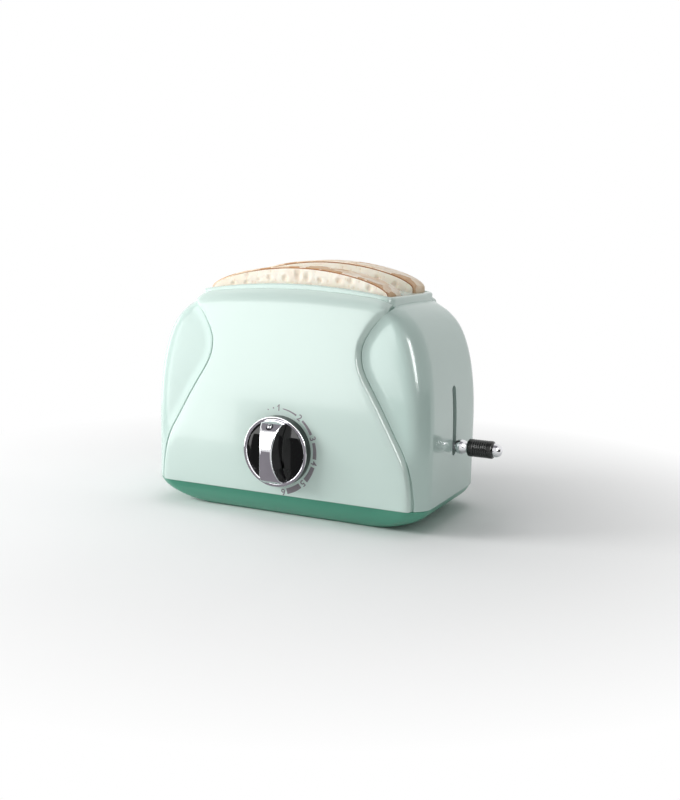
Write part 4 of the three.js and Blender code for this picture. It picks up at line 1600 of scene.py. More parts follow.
@dataclass
class TrayScrews:
    """Four cross-head screws, placed by a tree of geometry nodes."""

    finishes: Finishes
    plan: ScrewPlan = ScrewPlan()
    low: float = 0.8
    brim: float = 0.9
    cross: float = 3.4
    cross_width: float = 0.8
    shank: float = 1.5
    shank_top: float = 12.0
    point: float = 1.5
    turn: float = 0.7
    crease: float = 35.0

    def head(self) -> Object:
        """Makes one screw about the origin, its head downwards.

        Returns:
            A helper object with the screw's mesh.
        """
        radius, seat = self.plan.radius, self.plan.seat
        profile = rounded([
            (TIP, self.low, 0), (radius * 0.86, self.low, 0.5), (radius, self.low + self.brim, 0.4),
            (radius, seat, 0), (self.shank, seat, 0), (self.shank, self.shank_top - self.point, 0),
            (TIP, self.shank_top, 0),
        ])
        screw = add_mesh("screw", turned(profile, 36, upright), [])
        half, width = self.cross / 2, self.cross_width / 2
        for angle in (0.0, math.pi / 2):
            cos, sin = math.cos(angle), math.sin(angle)
            corners = [(-half, -width), (half, -width), (half, width), (-half, width)]
            loops = [[(x * cos - y * sin, x * sin + y * cos, z) for x, y in corners]
                     for z in (self.low - 1, self.low + self.brim)]
            cut(screw, add_mesh("cross", loft(loops), []), self.crease)
        return screw

    def build(self) -> Object:
        """Makes the four screws as one piece.

        Returns:
            The piece.
        """
        source = self.head()
        sheet = GeometrySheet("tray_screws")
        spread_x, spread_y = sheet.take("Spread X"), sheet.take("Spread Y")
        screw = sheet.take("Screw", "NodeSocketObject")
        turn = sheet.take("Turn")
        grid = sheet.add("GeometryNodeMeshGrid", {
            "Vertices X": 2, "Vertices Y": 2, "Size X": spread_x, "Size Y": spread_y,
        })
        info = sheet.add("GeometryNodeObjectInfo", {"Object": screw})
        number = sheet.add("GeometryNodeInputIndex")
        angle = sheet.add("ShaderNodeMath", {0: number.outputs[0], 1: turn}, operation="MULTIPLY")
        spin = sheet.add("ShaderNodeCombineXYZ", {"Z": angle.outputs[0]})
        placed = sheet.add("GeometryNodeInstanceOnPoints", {
            "Points": grid.outputs["Mesh"], "Instance": info.outputs["Geometry"], "Rotation": spin.outputs[0],
        })
        sheet.end(placed.outputs[0], self.finishes.steel)
        screws = sheet.run("tray_screws", {
            "Spread X": 2 * self.plan.x * MM, "Spread Y": 2 * self.plan.y * MM, "Screw": source,
            "Turn": self.turn,
        })
        bpy.data.objects.remove(source)
        settle(screws.data, self.crease)
        nodes = [f"base_screw_{i}" for i in range(1, 5)]
        return finish_piece(screws, Body.HOUSING, Slot.STEEL, *nodes)


# Bread


@dataclass(frozen=True)
class Pore:
    """An oval hollow in a slice's face, with a faint raised lip round it."""

    x: float
    z: float
    wide: float
    tall: float
    depth: float
    lean: float
    lip: float = 0.22
    lip_end: float = 1.7

    def height(self, x: float, z: float) -> float:
        """Gives the hollow's height over the face.

        Args:
            x: place along the length.
            z: place in height.

        Returns:
            The height, negative in the hollow.
        """
        dx, dz = x - self.x, z - self.z
        cos, sin = math.cos(self.lean), math.sin(self.lean)
        reach = math.hypot((dx * cos + dz * sin) / self.wide, (-dx * sin + dz * cos) / self.tall)
        if reach < 1:
            return -self.depth * (1 - reach ** 2) ** 1.5
        if reach < self.lip_end:
            return self.depth * self.lip * math.sin(math.pi * (reach - 1) / (self.lip_end - 1))
        return 0.0


@dataclass
class BreadSlice:
    """Play slice: flat faces with moulded pores, a rounded edge and a band of crust."""

    finishes: Finishes
    side: Side
    centre: float = 20.0
    thickness: float = 19.0
    bottom: float = 36.0
    front_height: float = 117.3
    back_height: float = 119.9
    shoulder: float = 61.0
    waist: float = 57.0
    waist_share: float = 0.6
    shoulder_share: float = 0.87
    brow_share: float = 0.075
    crown_share: float = 0.5
    middle_share: float = 0.52
    foot: float = 8.0
    edge: float = 1.3
    crease: float = 55.0
    outline_points: int = 300
    rings: int = 74
    roll: int = 6
    rind: int = 2
    band: int = 9
    dent: float = 0.9
    dent_scale: float = 0.09
    sink: float = 0.06
    pore_tone: float = 0.16
    pore_depth: float = 1.6
    pore_count: int = 108
    pore_tries: int = 4000
    pore_reach: float = 8.0
    pore_gap: float = 1.5
    pore_half: float = 54.0
    pore_low: float = 39.0
    pore_top: Flat = (149.0, 138.0)
    bare_low: float = 141.0
    bare_half: float = 40.0
    seed_step: int = 5
    fade: float = 60.0
    shown_pores: tuple[tuple[float, float, float, float], ...] = (
        (-44.8, 141.4, 1.6, 1.6), (-34.6, 147.3, 1.3, 2.4), (-26.5, 144.6, 1.6, 1.4),
        (-19.0, 146.1, 2.1, 1.8), (-8.4, 146.0, 2.3, 2.3), (0.7, 148.2, 2.3, 4.2), (6.9, 147.2, 1.9, 3.3),
        (15.8, 145.6, 1.7, 2.2), (28.3, 145.7, 2.1, 2.1), (36.0, 146.0, 2.0, 2.3), (48.4, 142.6, 2.2, 2.6),
        (-35.5, 142.4, 1.6, 1.4),
    )

    def __post_init__(self) -> None:
        """Sets what depends on the side: height, place and the seed of pores and crust."""
        self.height = self.side.choose(self.front_height, self.back_height)
        self.seed = self.side.choose(11, 29)
        self.y = self.side.value * self.centre

    def outline(self) -> list[Flat]:
        """Gives the slice's outline, evenly spaced.

        Returns:
            Points round the slice.
        """
        low, top = self.bottom, self.bottom + self.height
        waist_z = low + self.height * self.waist_share
        shoulder_z = low + self.height * self.shoulder_share
        middle = (waist_z + shoulder_z) / 2
        brow = top - self.height * self.brow_share
        right: list[Flat] = [(0.0, low), (self.waist - self.foot, low)]
        for i in range(1, 9):
            t = i / 8
            right.append((
                (1 - t) ** 2 * (self.waist - self.foot) + 2 * t * (1 - t) * self.waist + t * t * self.waist,
                (1 - t) ** 2 * low + 2 * t * (1 - t) * low + t * t * (low + self.foot),
            ))
        right.append((self.waist, waist_z))
        for curve in (
            ((self.waist, waist_z), (self.waist, middle),
             (self.shoulder, middle), (self.shoulder, shoulder_z)),
            ((self.shoulder, shoulder_z), (self.shoulder, brow), (self.shoulder * self.crown_share, top),
             (0.0, top)),
        ):
            right += [cubic(curve, i / 40) for i in range(1, 41)]
        full = right + [(-x, z) for x, z in reversed(right[1:-1])]
        full.append(full[0])
        lengths = [0.0]
        for a, b in zip(full, full[1:]):
            lengths.append(lengths[-1] + math.dist(a, b))
        points: list[Flat] = []
        index = 0
        for k in range(self.outline_points):
            target = lengths[-1] * k / self.outline_points
            while lengths[index + 1] < target:
                index += 1
            a, b = full[index], full[index + 1]
            t = (target - lengths[index]) / max(lengths[index + 1] - lengths[index], 1e-9)
            points.append((blend(a[0], b[0], t), blend(a[1], b[1], t)))
        return points

    def pores(self, seed: int, shown: bool) -> list[Pore]:
        """Scatters pores over a face.

        Args:
            seed: fixes the pattern.
            shown: whether the face starts with the chosen pores along the top.

        Returns:
            The pores.
        """
        pick = random.Random(seed)
        chosen = self.shown_pores if shown else ()
        result = [Pore(x, z, wide, tall, 1.0, pick.uniform(-0.2, 0.2)) for x, z, wide, tall in chosen]
        top = self.pore_top[shown]
        for _ in range(self.pore_tries):
            if len(result) == self.pore_count:
                break
            x, z = pick.uniform(-self.pore_half, self.pore_half), pick.uniform(self.pore_low, top)
            if z > self.bare_low and abs(x) > self.bare_half:
                continue
            wide = pick.uniform(0.9, 2.5)
            tall = wide * pick.uniform(0.9, 1.9)
            reach = max(wide, tall)
            if any(math.dist((x, z), (p.x, p.z)) < self.pore_gap * (reach + max(p.wide, p.tall))
                   for p in result):
                continue
            result.append(Pore(x, z, wide, tall, pick.uniform(0.35, 0.8), pick.uniform(-0.5, 0.5)))
        return result

    def face_loop(self, inner: Sequence[Flat], share: float, face: int, pores: Sequence[Pore]) -> list[Point]:
        """Gives one ring of a face, pushed in where it meets a pore.

        Args:
            inner: the face's outline.
            share: the ring's size, 1 at the outline.
            face: -1 for the front face, 1 for the back face.
            pores: the face's pores.

        Returns:
            The ring's points.
        """
        middle = self.bottom + self.height * self.middle_share
        fade = min(1.0, (1 - share) * self.fade)
        ring = []
        for x, z in inner:
            x, z = blend(0.0, x, share), blend(middle, z, share)
            near = sum(pore.height(x, z) for pore in pores
                       if abs(x - pore.x) < self.pore_reach and abs(z - pore.z) < self.pore_reach)
            out = self.thickness / 2 + max(near, -self.pore_depth) * fade - self.sink
            ring.append((x, self.y + face * out, z))
        return ring

    def build(self) -> Object:
        """Makes the slice ring by ring: front face, rounded edge, crust, rounded edge, back face.

        Returns:
            The slice.
        """
        outline = self.outline()
        count = len(outline)
        normals = []
        for i in range(count):
            a, b = outline[i - 1], outline[(i + 1) % count]
            span = math.dist(a, b)
            normals.append(((b[1] - a[1]) / span, -(b[0] - a[0]) / span))
        inner = [(x - nx * self.edge, z - nz * self.edge) for (x, z), (nx, nz) in zip(outline, normals)]
        half = self.thickness / 2
        crumb, rind, crust, pore = range(4)

        def grown(base: Sequence[Flat], out: Sequence[float], y: float) -> list[Point]:
            """Gives an outline grown point by point and laid at a depth."""
            return [(x + nx * by, self.y + y, z + nz * by)
                    for (x, z), (nx, nz), by in zip(base, normals, out)]

        shares = [0.012] + [i / self.rings for i in range(1, self.rings)] + [0.995, 1.0]
        rows: dict[int, list[tuple[list[Point], int]]] = {}
        front, back = self.pores(self.seed, True), self.pores(self.seed + self.seed_step, False)
        for face, pores in ((-1, front), (1, back)):
            rows[face] = [(self.face_loop(inner, share, face, pores), crumb) for share in shares]
            for k, (sin, cos) in enumerate(quarter_turn(self.roll)[1:], 1):
                out, back = self.edge * sin, self.edge * (1 - cos)
                ring = grown(inner, [out] * count, face * (half - back))
                rows[face].append((ring, rind if k <= self.rind else crust))
        rows[1][len(shares) - 1] = (rows[1][len(shares) - 1][0], rind)
        sides = []
        for k in range(1, self.band):
            scale = self.dent_scale
            dents = [-abs(noise.noise(Vector((x * scale, k * 0.7 + self.seed, z * scale)))) * self.dent
                     for x, z in outline]
            depth = blend(-half + self.edge, half - self.edge, k / self.band)
            sides.append((grown(outline, dents, depth), crust))
        whole = rows[-1] + sides + rows[1][::-1]
        picks: list[int] = []
        for (low, before), (high, mark) in zip(whole, whole[1:]):
            # Between two crumb rings, faces that lie deep in a pore take the darker pore finish: painted
            # shade in the hollow.
            if mark == crumb and before == crumb:
                deep = [abs((a[1] + b[1]) / 2 - self.y) < half - self.sink - self.pore_tone
                        for a, b in zip(low, high)]
                picks += [pore if inside else crumb for inside in deep]
            else:
                picks += [mark] * count
        piece = add_mesh(
            self.side.choose("play_slice_front", "play_slice_back"), loft([loop for loop, _ in whole]),
            [self.finishes.crumb, self.finishes.rind, self.finishes.crust, self.finishes.pore],
            self.crease, picks + [crumb, crumb],
        )
        body = self.side.choose(Body.SLICE_FRONT, Body.SLICE_BACK)
        node = self.side.choose("bread_slice_front", "bread_slice_back")
        return finish_piece(piece, body, Slot.BREAD, node)


# Timer knob and dial


@dataclass
class TimerKnob:
    """Chrome knob: rim, two lens-shaped black recesses and an arched grip bar with a ball."""

    finishes: Finishes
    back: float = -50.3
    face: float = -56.0
    radius: float = 21.5
    rim: float = 2.2
    rim_soft: float = 0.8
    rim_edge: float = 0.45
    floor: float = -53.4
    steps: int = 128
    side_start: float = 1.5
    arch: float = 12.0
    waist: float = 4.1
    flare: float = 7.2
    rows: int = 96
    ball: float = 1.9
    ball_height: float = 16.4
    ball_sink: float = 0.35
    pit: float = 0.5
    soft: float = 1.1
    lens_gap: float = 0.15
    lens_play: float = 0.3
    lens_rise: float = 1.6
    lens_soft: float = 0.25
    facet: float = 9.6
    facet_slope: float = 9.5
    crease: float = 50.0
    lens_crease: float = 60.0

    @property
    def inner(self) -> float:
        """Radius inside the rim."""
        return self.radius - self.rim

    def spread(self, x: float, y: float, along: float) -> Point:
        """Lays a turned body's axis along Y through the knob's centre."""
        return (x, along, KNOB_HEIGHT + y)

    def disc(self) -> Object:
        """Makes the disc with its rim and sunk floor; its outer side wall takes a dark finish, painted
        reflection and shade.

        Returns:
            The disc.
        """
        soft, edge = self.rim_soft, self.rim_edge
        profile = [(TIP, self.floor), (self.inner - 0.3, self.floor), (self.inner, self.floor - 0.3)]
        profile += [(self.inner + soft * (1 - cos), self.face + soft * (1 - sin))
                    for sin, cos in quarter_turn(8)]
        profile += [(self.radius - edge * (1 - sin), self.face + edge * (1 - cos))
                    for sin, cos in quarter_turn(8)]
        profile += [(self.radius, self.back + 1.0), (self.radius - 0.3, self.back + 0.3),
                    (self.radius - 0.9, self.back), (TIP, self.back)]
        # The outer side wall takes the dark side finish: painted reflection and shade on the chrome.
        picks: list[int] = []
        for radius, along in profile[1:]:
            outside = along > self.face + self.side_start and radius > self.inner + 1
            picks += [int(outside)] * self.steps
        finishes = [self.finishes.chrome, self.finishes.side]
        surface = turned(profile, self.steps, self.spread)
        return add_mesh("knob_disc", surface, finishes, self.crease, picks + [0, 0])

    def bar_width(self, height: float) -> float:
        """Gives the grip bar's half width.

        Args:
            height: height above the knob's centre.

        Returns:
            The half width, smallest in the middle.
        """
        tip = math.sqrt(self.inner ** 2 - self.flare ** 2)
        share = min(1.0, abs(height) / tip)
        return self.flare - (self.flare - self.waist) * (1 - share ** 2)

    def bar_rise(self, height: float) -> float:
        """Gives how far the grip bar's ridge stands out at a height above the knob's centre."""
        return self.arch * math.sqrt(max(0.0, 1 - (height / self.inner) ** 2))

    def grip(self) -> Object:
        """Makes the grip bar as a row of rounded cross-sections, with a pit for the pointer that is lined
        black as painted shadow round the ball.

        Returns:
            The grip bar.
        """
        loops: list[list[Point]] = []
        foot = self.floor + 0.05
        for k in range(self.rows + 1):
            height = -self.inner * math.cos(math.pi * k / self.rows) * 0.9995
            rise = max(self.bar_rise(height), 0.02)
            half = min(self.bar_width(height), math.sqrt(max(self.inner ** 2 - height ** 2, 0.01)))
            soft = min(self.soft, half * 0.8, rise * 0.8)
            top = self.face - rise
            flank = [(half, foot), (half, (foot + top + soft) / 2)]
            flank += [(half - soft + soft * cos, top + soft - soft * sin) for sin, cos in quarter_turn(6)]
            ridge = [((half - soft) * (1 - 2 * i / 8), top) for i in range(1, 8)]
            section = flank + ridge + [(-x, y) for x, y in reversed(flank)]
            loops.append([(x, y, KNOB_HEIGHT + height) for x, y in section])
        bar = add_mesh("knob_grip", loft(loops), [self.finishes.chrome])
        x, y, z = self.ball_centre()
        # The cut takes the pit's black finish: a painted shadow round the pointer's ball.
        pit = turned(ball_profile(self.ball + self.pit), 40, lambda u, v, w: (x + u, y + w, z + v))
        cut(bar, add_mesh("pit", pit, [self.finishes.recess]), self.crease)
        return bar

    def ball_centre(self) -> Point:
        """Gives the centre of the pointer's ball.

        Returns:
            The centre, sunk a little into the bar's ridge.
        """
        y = self.face - self.bar_rise(self.ball_height) + self.ball_sink
        return (0.0, y, KNOB_HEIGHT + self.ball_height - self.ball_sink)

    def pointer(self) -> Object:
        """Makes the pointer: a ball on a waisted foot that stands in a seat ring.

        Returns:
            The pointer.
        """
        foot = ((0.6, 0.85), (0.62, 1.0), (0.95, 1.1), (0.95, 1.3))
        profile = ball_profile(self.ball, 19)
        profile += [(self.ball * wide, self.ball * along) for wide, along in foot]
        profile.append((TIP, self.ball * 1.3))
        x, y, z = self.ball_centre()
        cos, sin = math.cos(math.pi / 4), math.sin(math.pi / 4)
        surface = turned(profile, 40, lambda u, v, w: (x + u, y + w * cos + v * sin, z + v * cos - w * sin))
        return add_mesh("knob_ball", surface, [self.finishes.pin], self.crease)

    def lens(self, side: Side) -> Object:
        """Makes one black recess plate, with a facet at its top and bottom.

        Args:
            side: left or right.

        Returns:
            The plate.
        """
        gap = self.lens_gap
        radius = self.inner - self.lens_play
        tip = math.sqrt(radius ** 2 - (self.flare + gap) ** 2)
        heights = [tip * sin for sin, _ in quarter_turn(24)] + [self.facet - gap, self.facet + gap]
        base = self.floor + 0.02
        loops: list[list[Point]] = []
        for height in sorted({sign * height for height in heights for sign in (-1, 1)}):
            low = self.bar_width(height) + gap
            high = max(math.sqrt(max(radius ** 2 - height ** 2, 0.0)), low + 0.06)
            fall = max(0.0, abs(height) - self.facet) * math.tan(math.radians(self.facet_slope))
            top = self.floor - self.lens_rise + fall
            soft = min(self.lens_soft, (high - low) * 0.3)
            section = [(low, base), (low, top + soft), (low + soft * 0.3, top + soft * 0.3)]
            section += [(blend(low + soft, high - soft, i / 6), top) for i in range(7)]
            section += [(high - soft * 0.3, top + soft * 0.3), (high, top + soft), (high, base)]
            loops.append([(side.value * x, y, KNOB_HEIGHT + height) for x, y in section])
        name = side.choose("knob_lens_left", "knob_lens_right")
        plate = add_mesh(name, loft(loops), [self.finishes.recess], self.lens_crease)
        return finish_piece(plate, Body.KNOB, Slot.BLACK, side.choose("knob_inlay_left", "knob_inlay_right"))

    def build(self) -> None:
        """Makes the knob's pieces."""
        finish_piece(self.disc(), Body.KNOB, Slot.CHROME, "knob")
        grip = self.grip()
        finish_piece(self.pointer(), Body.KNOB, Slot.STEEL, "knob_pointer")
        finish_piece(grip, Body.KNOB, Slot.CHROME, "knob")
        for side in Side:
            self.lens(side)


@dataclass
class Dial:
    """Printed scale round the knob: two dots, the numbers 1 to 6 and a swelling arc."""

    finishes: Finishes
    form: BodyForm = BodyForm()
    grow: float = 2.0
    radius: float = 25.9
    first: float = 2.4
    step: float = 33.3
    size: float = 5.7
    bold: float = 0.06
    film: float = 0.05
    gap: float = 5.6
    shift: float = -1.8
    numbers: int = 6
    arc_steps: int = 24
    arc_half: Flat = (0.25, 1.75)
    arc_tip: float = 0.06
    arc_from: float = 5.0
    arc_span: float = 145.0
    dots: tuple[Point, ...] = ((-14.5, 25.1, 0.42), (-5.9, 25.75, 0.5))

    def on_face(self, x: float, z: float, above: float) -> Point:
        """Lays a point of the print on the curved face.

        Args:
            x: place along the length.
            z: height.
            above: how far it stands proud.

        Returns:
            The point.
        """
        return (x, self.form.face_depth(x, z, self.grow) - above, z)

    def polar(self, degrees: float, radius: float) -> Flat:
        """Gives a place at an angle clockwise from the top and a radius from the axis."""
        angle = math.radians(degrees)
        return (self.shift + radius * math.sin(angle), KNOB_HEIGHT + radius * math.cos(angle))

    def film_of(self, outline: Sequence[Flat]) -> Object:
        """Makes a thin film on the face.

        Args:
            outline: its outline in length and height.

        Returns:
            The film.
        """
        loops = [[self.on_face(x, z, above) for x, z in outline] for above in (-self.film, self.film)]
        return add_mesh("film", loft(loops), [self.finishes.ink])

    def arc(self, number: int) -> Object:
        """Makes the arc after a number, thicker towards the end of the scale.

        Args:
            number: how many numbers lie before the one that it starts from.

        Returns:
            The arc.
        """
        start = self.first + number * self.step + self.gap
        end = self.first + (number + 1) * self.step - self.gap
        loops: list[list[Point]] = []
        for i in range(self.arc_steps + 1):
            angle = blend(start, end, i / self.arc_steps)
            share = min(1.0, (angle - self.arc_from) / self.arc_span)
            half = blend(*self.arc_half, share) if i or number else self.arc_tip
            low, high = self.polar(angle, self.radius - half), self.polar(angle, self.radius + half)
            loops.append([
                self.on_face(*low, self.film), self.on_face(*high, self.film),
                self.on_face(*high, -self.film), self.on_face(*low, -self.film),
            ])
        return add_mesh("arc", loft(loops), [self.finishes.ink])

    def dot(self, degrees: float, radius: float, size: float) -> Object:
        """Makes a dot before the first number.

        Args:
            degrees: its angle clockwise from the top.
            radius: its distance from the axis.
            size: its own radius.

        Returns:
            The dot.
        """
        x, z = self.polar(degrees, radius)
        angles = [math.pi * i / 12 for i in range(24)]
        return self.film_of([(x + size * math.cos(angle), z + size * math.sin(angle)) for angle in angles])

    def number(self, value: int) -> Object:
        """Makes one number of the scale, its top outwards.

        Args:
            value: the number.

        Returns:
            The number.
        """
        text = bpy.data.curves.new("number", "FONT")
        text.body = str(value)
        text.size = self.size * MM
        text.align_x = "CENTER"
        text.align_y = "CENTER"
        text.extrude = self.film * MM
        text.offset = self.bold * MM
        plain = baked(linked("number", text))
        degrees = self.first + (value - 1) * self.step
        cx, cz = self.polar(degrees, self.radius)
        angle = math.radians(degrees)
        for vertex in plain.data.vertices:
            u, v, w = vertex.co / MM
            x = cx + u * math.cos(angle) + v * math.sin(angle)
            z = cz - u * math.sin(angle) + v * math.cos(angle)
            vertex.co = Vector(self.on_face(x, z, w)) * MM
        dress(plain, self.finishes.ink)
        settle(plain.data, weld=1e-7)
        return plain

    def flag(self) -> Object:
        """Makes the short upstroke of the first number.

        Returns:
            The upstroke.
        """
        cx, cz = self.polar(self.first, self.radius)
        top = self.size * 0.34
        corners = [(0.1, top), (-0.2, top), (-1.3, top - 1.0), (-1.3, top - 1.5), (0.1, top - 0.5)]
        return self.film_of([(cx + x, cz + z) for x, z in corners])

    def build(self) -> Object:
        """Makes the print as one piece.

        Returns:
            The print.
        """
        pieces = [self.arc(number) for number in range(self.numbers - 1)]
        pieces += [self.dot(*dot) for dot in self.dots]
        pieces += [self.number(value) for value in range(1, self.numbers + 1)]
        pieces.append(self.flag())
        return finish_piece(joined("dial_print", pieces), Body.HOUSING, Slot.MINT)


# Lever


@dataclass
class Lever:
    """Push-down lever at the end: chrome neck, ribbed black grip, chrome tip."""

    finishes: Finishes
    height: float = 47.0
    start: float = 95.2
    neck_length: float = 8.0
    neck_radius: float = 4.6
    neck_waist: float = 3.2
    grip_length: float = 16.0
    grip_radius: float = 5.4
    grip_round: float = 1.3
    plain_end: float = 3.2
    tip_length: float = 5.0
    tip_radius: float = 4.2
    ribs: int = 7
    rib_steps: int = 12
    rib_depth: float = 0.35

    def lay(self, u: float, v: float, w: float) -> Point:
        """Lays a turned body's axis along X at the lever's height."""
        return (w, u, self.height + v)

    def chromed(self, name: str, profile: Sequence[Point], node: str) -> None:
        """Makes a chrome part.

        Args:
            name: the piece's name.
            profile: radius, place along the axis and rounding of each corner.
            node: the solid that it replaces.
        """
        surface = turned(rounded(profile, 6), 64, self.lay)
        piece = add_mesh(name, surface, [self.finishes.chrome], 50.0)
        finish_piece(piece, Body.CARRIAGE, Slot.CHROME, node)

    def build(self) -> None:
        """Makes neck, grip and tip."""
        s, n, wide, waist = self.start, self.neck_length, self.neck_radius, self.neck_waist
        low = s + n
        high = low + self.grip_length
        self.chromed("lever_collar", [
            (TIP, s, 0), (waist, s, 0.4), (wide * 0.92, s + n * 0.2, 1.2), (wide, s + n * 0.42, 1.6),
            (wide * 0.88, s + n * 0.66, 1.2), (waist, s + n * 0.86, 0.8), (waist, low - 0.1, 0),
            (TIP, low - 0.1, 0),
        ], "lever_neck")
        soft = self.grip_round
        core = self.grip_radius - soft
        body = [(TIP, low), (core - 0.2, low)]
        body += [(core + soft * sin, low + soft - soft * cos) for sin, cos in quarter_turn(8)]
        for i in range(self.ribs * self.rib_steps + 1):
            share = i / (self.ribs * self.rib_steps)
            wave = 0.5 - 0.5 * math.cos(2 * math.pi * share * self.ribs)
            place = blend(low + self.plain_end, high - self.plain_end, share)
            body.append((self.grip_radius - self.rib_depth * wave ** 1.5, place))
        body += [(core + soft * cos, high - soft + soft * sin) for sin, cos in quarter_turn(8)]
        body += [(core - 0.2, high), (TIP, high)]
        barrel = add_mesh("lever_barrel", turned(body, 72, self.lay), [self.finishes.black], 60.0)
        finish_piece(barrel, Body.CARRIAGE, Slot.BLACK, "lever_grip")
        t, wide = self.tip_length, self.tip_radius
        self.chromed("lever_cap", [
            (TIP, high + 0.05, 0), (wide, high + 0.05, 0.3), (wide, high + t * 0.3, 1.0),
            (wide * 0.88, high + t * 0.7, 1.2), (wide * 0.5, high + t * 0.95, 1.0), (TIP, high + t, 0),
        ], "lever_tip")


# Inner works


@dataclass
class InnerWorks:
    """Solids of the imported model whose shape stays, each given its own finish."""

    finishes: Finishes
    white: str = ("inner_frame bread_cage_front bread_cage_back carriage rod_bridge second_wheel third_wheel"
                  " release_cam")
    steel: str = ("guide_rod_left guide_rod_right lever_stem catch_plate timer_front_plate timer_back_plate"
                  " winding_arbor anchor latch_lever latch_pin")
    spring: str = "lift_spring_left lift_spring_right mainspring latch_spring"
    brass: str = ("timer_pillar_1 timer_pillar_2 timer_pillar_3 timer_pillar_4 main_wheel escape_wheel"
                  " latch_post")

    def build(self) -> None:
        """Dresses every solid that is carried over; the others are replaced later."""
        groups = ((self.finishes.white, self.white), (self.finishes.steel, self.steel),
                  (self.finishes.spring, self.spring), (self.finishes.brass, self.brass))
        plan = {name: finish for finish, names in groups for name in names.split()}
        for name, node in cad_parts.items():
            dress(node, plan.get(name, self.finishes.mint))
        LOG.info("%d inner solids dressed", len(plan))


# Studio


class Use(Enum):
    """What a lamp is for."""

    LIGHT = "light"
    GLINT = "glint"


@dataclass(frozen=True)
class Lamp:
    """A soft rectangular lamp: place, aim and size in metres, and power in watts."""

    name: str
    place: Point
    aim: Point
    size: Flat
    power: float
    use: Use

    def build(self) -> None:
        """Adds the lamp, which only lights or is only reflected."""
        data = bpy.data.lights.new(self.name, "AREA")
        data.shape = "RECTANGLE"
        data.size, data.size_y = self.size
        data.energy = self.power
        lamp = linked(self.name, data)
        lamp.location = self.place
        lamp.rotation_euler = (Vector(self.aim) - Vector(self.place)).to_track_quat("-Z", "Y").to_euler()
        lamp.visible_camera = False
        lamp.visible_glossy = self.use is Use.GLINT
        lamp.visible_diffuse = self.use is Use.LIGHT


@dataclass(frozen=True)
class Card:
    """A card that only shows in mirrors: two corners in millimetres and its colour as a mirror shows it."""

    name: str
    low: Point
    high: Point
    tone: Point

    def build(self) -> None:
        """Adds the card."""
        sheet = ShaderSheet(self.name)
        sheet.nodes.remove(sheet.shader)
        tones = sheet.ramp(sheet.noise(3, 2), (0.3, self.tone), (0.7, shaded(self.tone, 1.02)))
        glow = sheet.add("ShaderNodeEmission", {"Color": tones})
        sheet.feed(sheet.nodes["Material Output"], {"Surface": glow.outputs[0]})
        (x0, y0, z0), (x1, y1, z1) = self.low, self.high
        loops = [[(x0, y0, z), (x1, y0, z), (x1, y1, z), (x0, y1, z)] for z in (z0, z1)]
        card = add_mesh(self.name, loft(loops), [sheet.material])
        card.visible_camera = False
        card.visible_diffuse = False
        card.visible_shadow = False


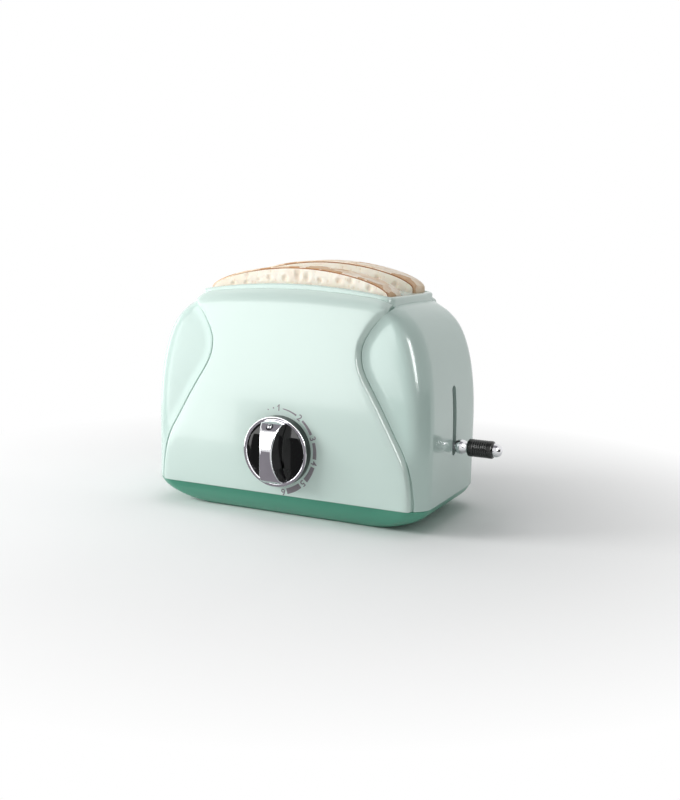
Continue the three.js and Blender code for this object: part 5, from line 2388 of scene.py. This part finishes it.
@dataclass
class Studio:
    """Pale sweep, soft lamps and the camera at the photograph's angle."""

    azimuth: float = 26.27
    elevation: float = 8.73
    roll: float = -1.0
    distance: float = 0.700
    target: Point = (0.0, 0.0, 0.075)
    lens: float = 49.0
    shift_x: float = 0.0291
    shift_y: float = -0.0156
    ambient: float = 0.42
    floor_tones: tuple[Point, Point] = ((240, 241, 241), (246, 247, 247))
    floor_radii: tuple[float, ...] = (1.0, 120.0, 400.0, 1200.0, 3000.0, 9000.0)
    floor_fade: Flat = (0.12, 0.34)
    lamps: tuple[Lamp, ...] = (
        Lamp("key", (-0.78, -0.47, 0.37), (-0.03, 0.0, 0.08), (0.36, 0.36), 7.3, Use.LIGHT),
        Lamp("top", (0.0, 0.1, 0.7), (0.0, 0.0, 0.08), (0.5, 0.4), 0.8, Use.LIGHT),
        Lamp("sheen", (-0.175, -0.22, 0.14), (-0.175, 0.0, 0.14), (0.33, 0.18), 0.68, Use.GLINT),
        Lamp("sheen_low", (-0.235, -0.22, 0.026), (-0.235, 0.0, 0.026), (0.21, 0.046), 0.12, Use.GLINT),
        Lamp("right_edge", (0.325, -0.305, 0.24), (0.06, -0.04, 0.06), (0.08, 0.25), 1.15, Use.GLINT),
        Lamp("left_edge", (-0.42, 0.02, 0.12), (-0.09, 0.0, 0.09), (0.08, 0.22), 0.1, Use.GLINT),
    )
    cards: tuple[Card, ...] = (
        Card("studio_floor_card", (-420, -640, 0.6), (60, -50, 1.0), (142, 138, 144)),
        Card("studio_roof_card", (-350, -400, 550), (250, 60, 552), (140, 137, 143)),
        Card("studio_dark_card", (300, -420, 2), (302, 60, 95), (26, 28, 27)),
    )

    def camera(self) -> None:
        """Places the camera."""
        az, el = math.radians(self.azimuth), math.radians(self.elevation)
        back = Vector((math.sin(az) * math.cos(el), -math.cos(az) * math.cos(el), math.sin(el)))
        right = Vector((math.cos(az), math.sin(az), 0.0))
        turn = Matrix((right, back.cross(right), back)).transposed().to_4x4()
        data = bpy.data.cameras.new("photo_camera")
        data.sensor_fit = "AUTO"
        data.sensor_width = 36.0
        data.lens = self.lens
        data.shift_x = self.shift_x
        data.shift_y = self.shift_y
        data.clip_start = 0.01
        data.clip_end = 50.0
        camera = linked("photo_camera", data)
        place = Matrix.Translation(Vector(self.target) + back * self.distance)
        camera.matrix_world = place @ turn @ Matrix.Rotation(math.radians(-self.roll), 4, "Z")
        bpy.context.scene.camera = camera

    def sweep(self) -> None:
        """Makes a wide pale floor that fades to white away from the object."""
        sheet = ShaderSheet("studio_floor")
        low, high = self.floor_tones
        tones = sheet.ramp(sheet.noise(3, 2), (0.3, low), (0.7, high))
        sheet.set(Base_Color=tones, Roughness=0.8, Specular_IOR_Level=0.1)
        length = sheet.add("ShaderNodeVectorMath", {0: sheet.place}, operation="LENGTH")
        fade = sheet.spread(length.outputs["Value"], (0.0, 1.0), self.floor_fade)
        share = sheet.add("ShaderNodeMath", {0: fade, 1: sheet.seen()}, operation="MULTIPLY")
        white = sheet.add("ShaderNodeEmission", {"Color": (1.0, 1.0, 1.0, 1.0)})
        mix = sheet.add("ShaderNodeMixShader", {
            "Fac": share.outputs[0], 1: sheet.shader.outputs[0], 2: white.outputs[0],
        })
        sheet.feed(sheet.nodes["Material Output"], {"Surface": mix.outputs[0]})
        surface = turned([(radius, 0.0) for radius in self.floor_radii], 48, upright, False)
        floor = add_mesh("studio_floor", surface, [sheet.material])
        if floor.data.polygons[0].normal.z < 0:
            floor.data.flip_normals()

    def sky(self) -> None:
        """Sets an even pale surrounding, white where it is seen directly or in a reflection."""
        world = bpy.data.worlds.new("studio")
        bpy.context.scene.world = world
        world.use_nodes = True
        world.node_tree.nodes.clear()
        tree = Tree(world.node_tree)
        soft, seen = (
            tree.add("ShaderNodeBackground", {"Color": (1.0, 1.0, 1.0, 1.0), "Strength": strength})
            for strength in (self.ambient, 1.0)
        )
        mix = tree.add("ShaderNodeMixShader", {"Fac": tree.seen(), 1: soft.outputs[0], 2: seen.outputs[0]})
        tree.add("ShaderNodeOutputWorld", {"Surface": mix.outputs[0]})

    def build(self) -> None:
        """Sets up camera, floor, lamps and surroundings."""
        self.camera()
        self.sweep()
        self.sky()
        for part in self.lamps + self.cards:
            part.build()
        bpy.context.scene.view_settings.view_transform = "Standard"


def write_sizes() -> None:
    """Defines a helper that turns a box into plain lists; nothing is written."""
    def plain(box: Iterable) -> list[list[float]]:
        """Turns a box into plain lists."""
        return [[float(value) for value in corner] for corner in box]


def main() -> None:
    """Builds the toaster piece by piece, then the studio round it."""
    finishes = Finishes()
    InnerWorks(finishes).build()
    Shell(finishes).build()
    Collar(finishes).build()
    BaseTray(finishes).build()
    TrayScrews(finishes).build()
    for side in Side:
        BreadSlice(finishes, side).build()
    TimerKnob(finishes).build()
    Dial(finishes).build()
    Lever(finishes).build()
    Studio().build()
    write_sizes()


if __name__ == "__main__":
    main()
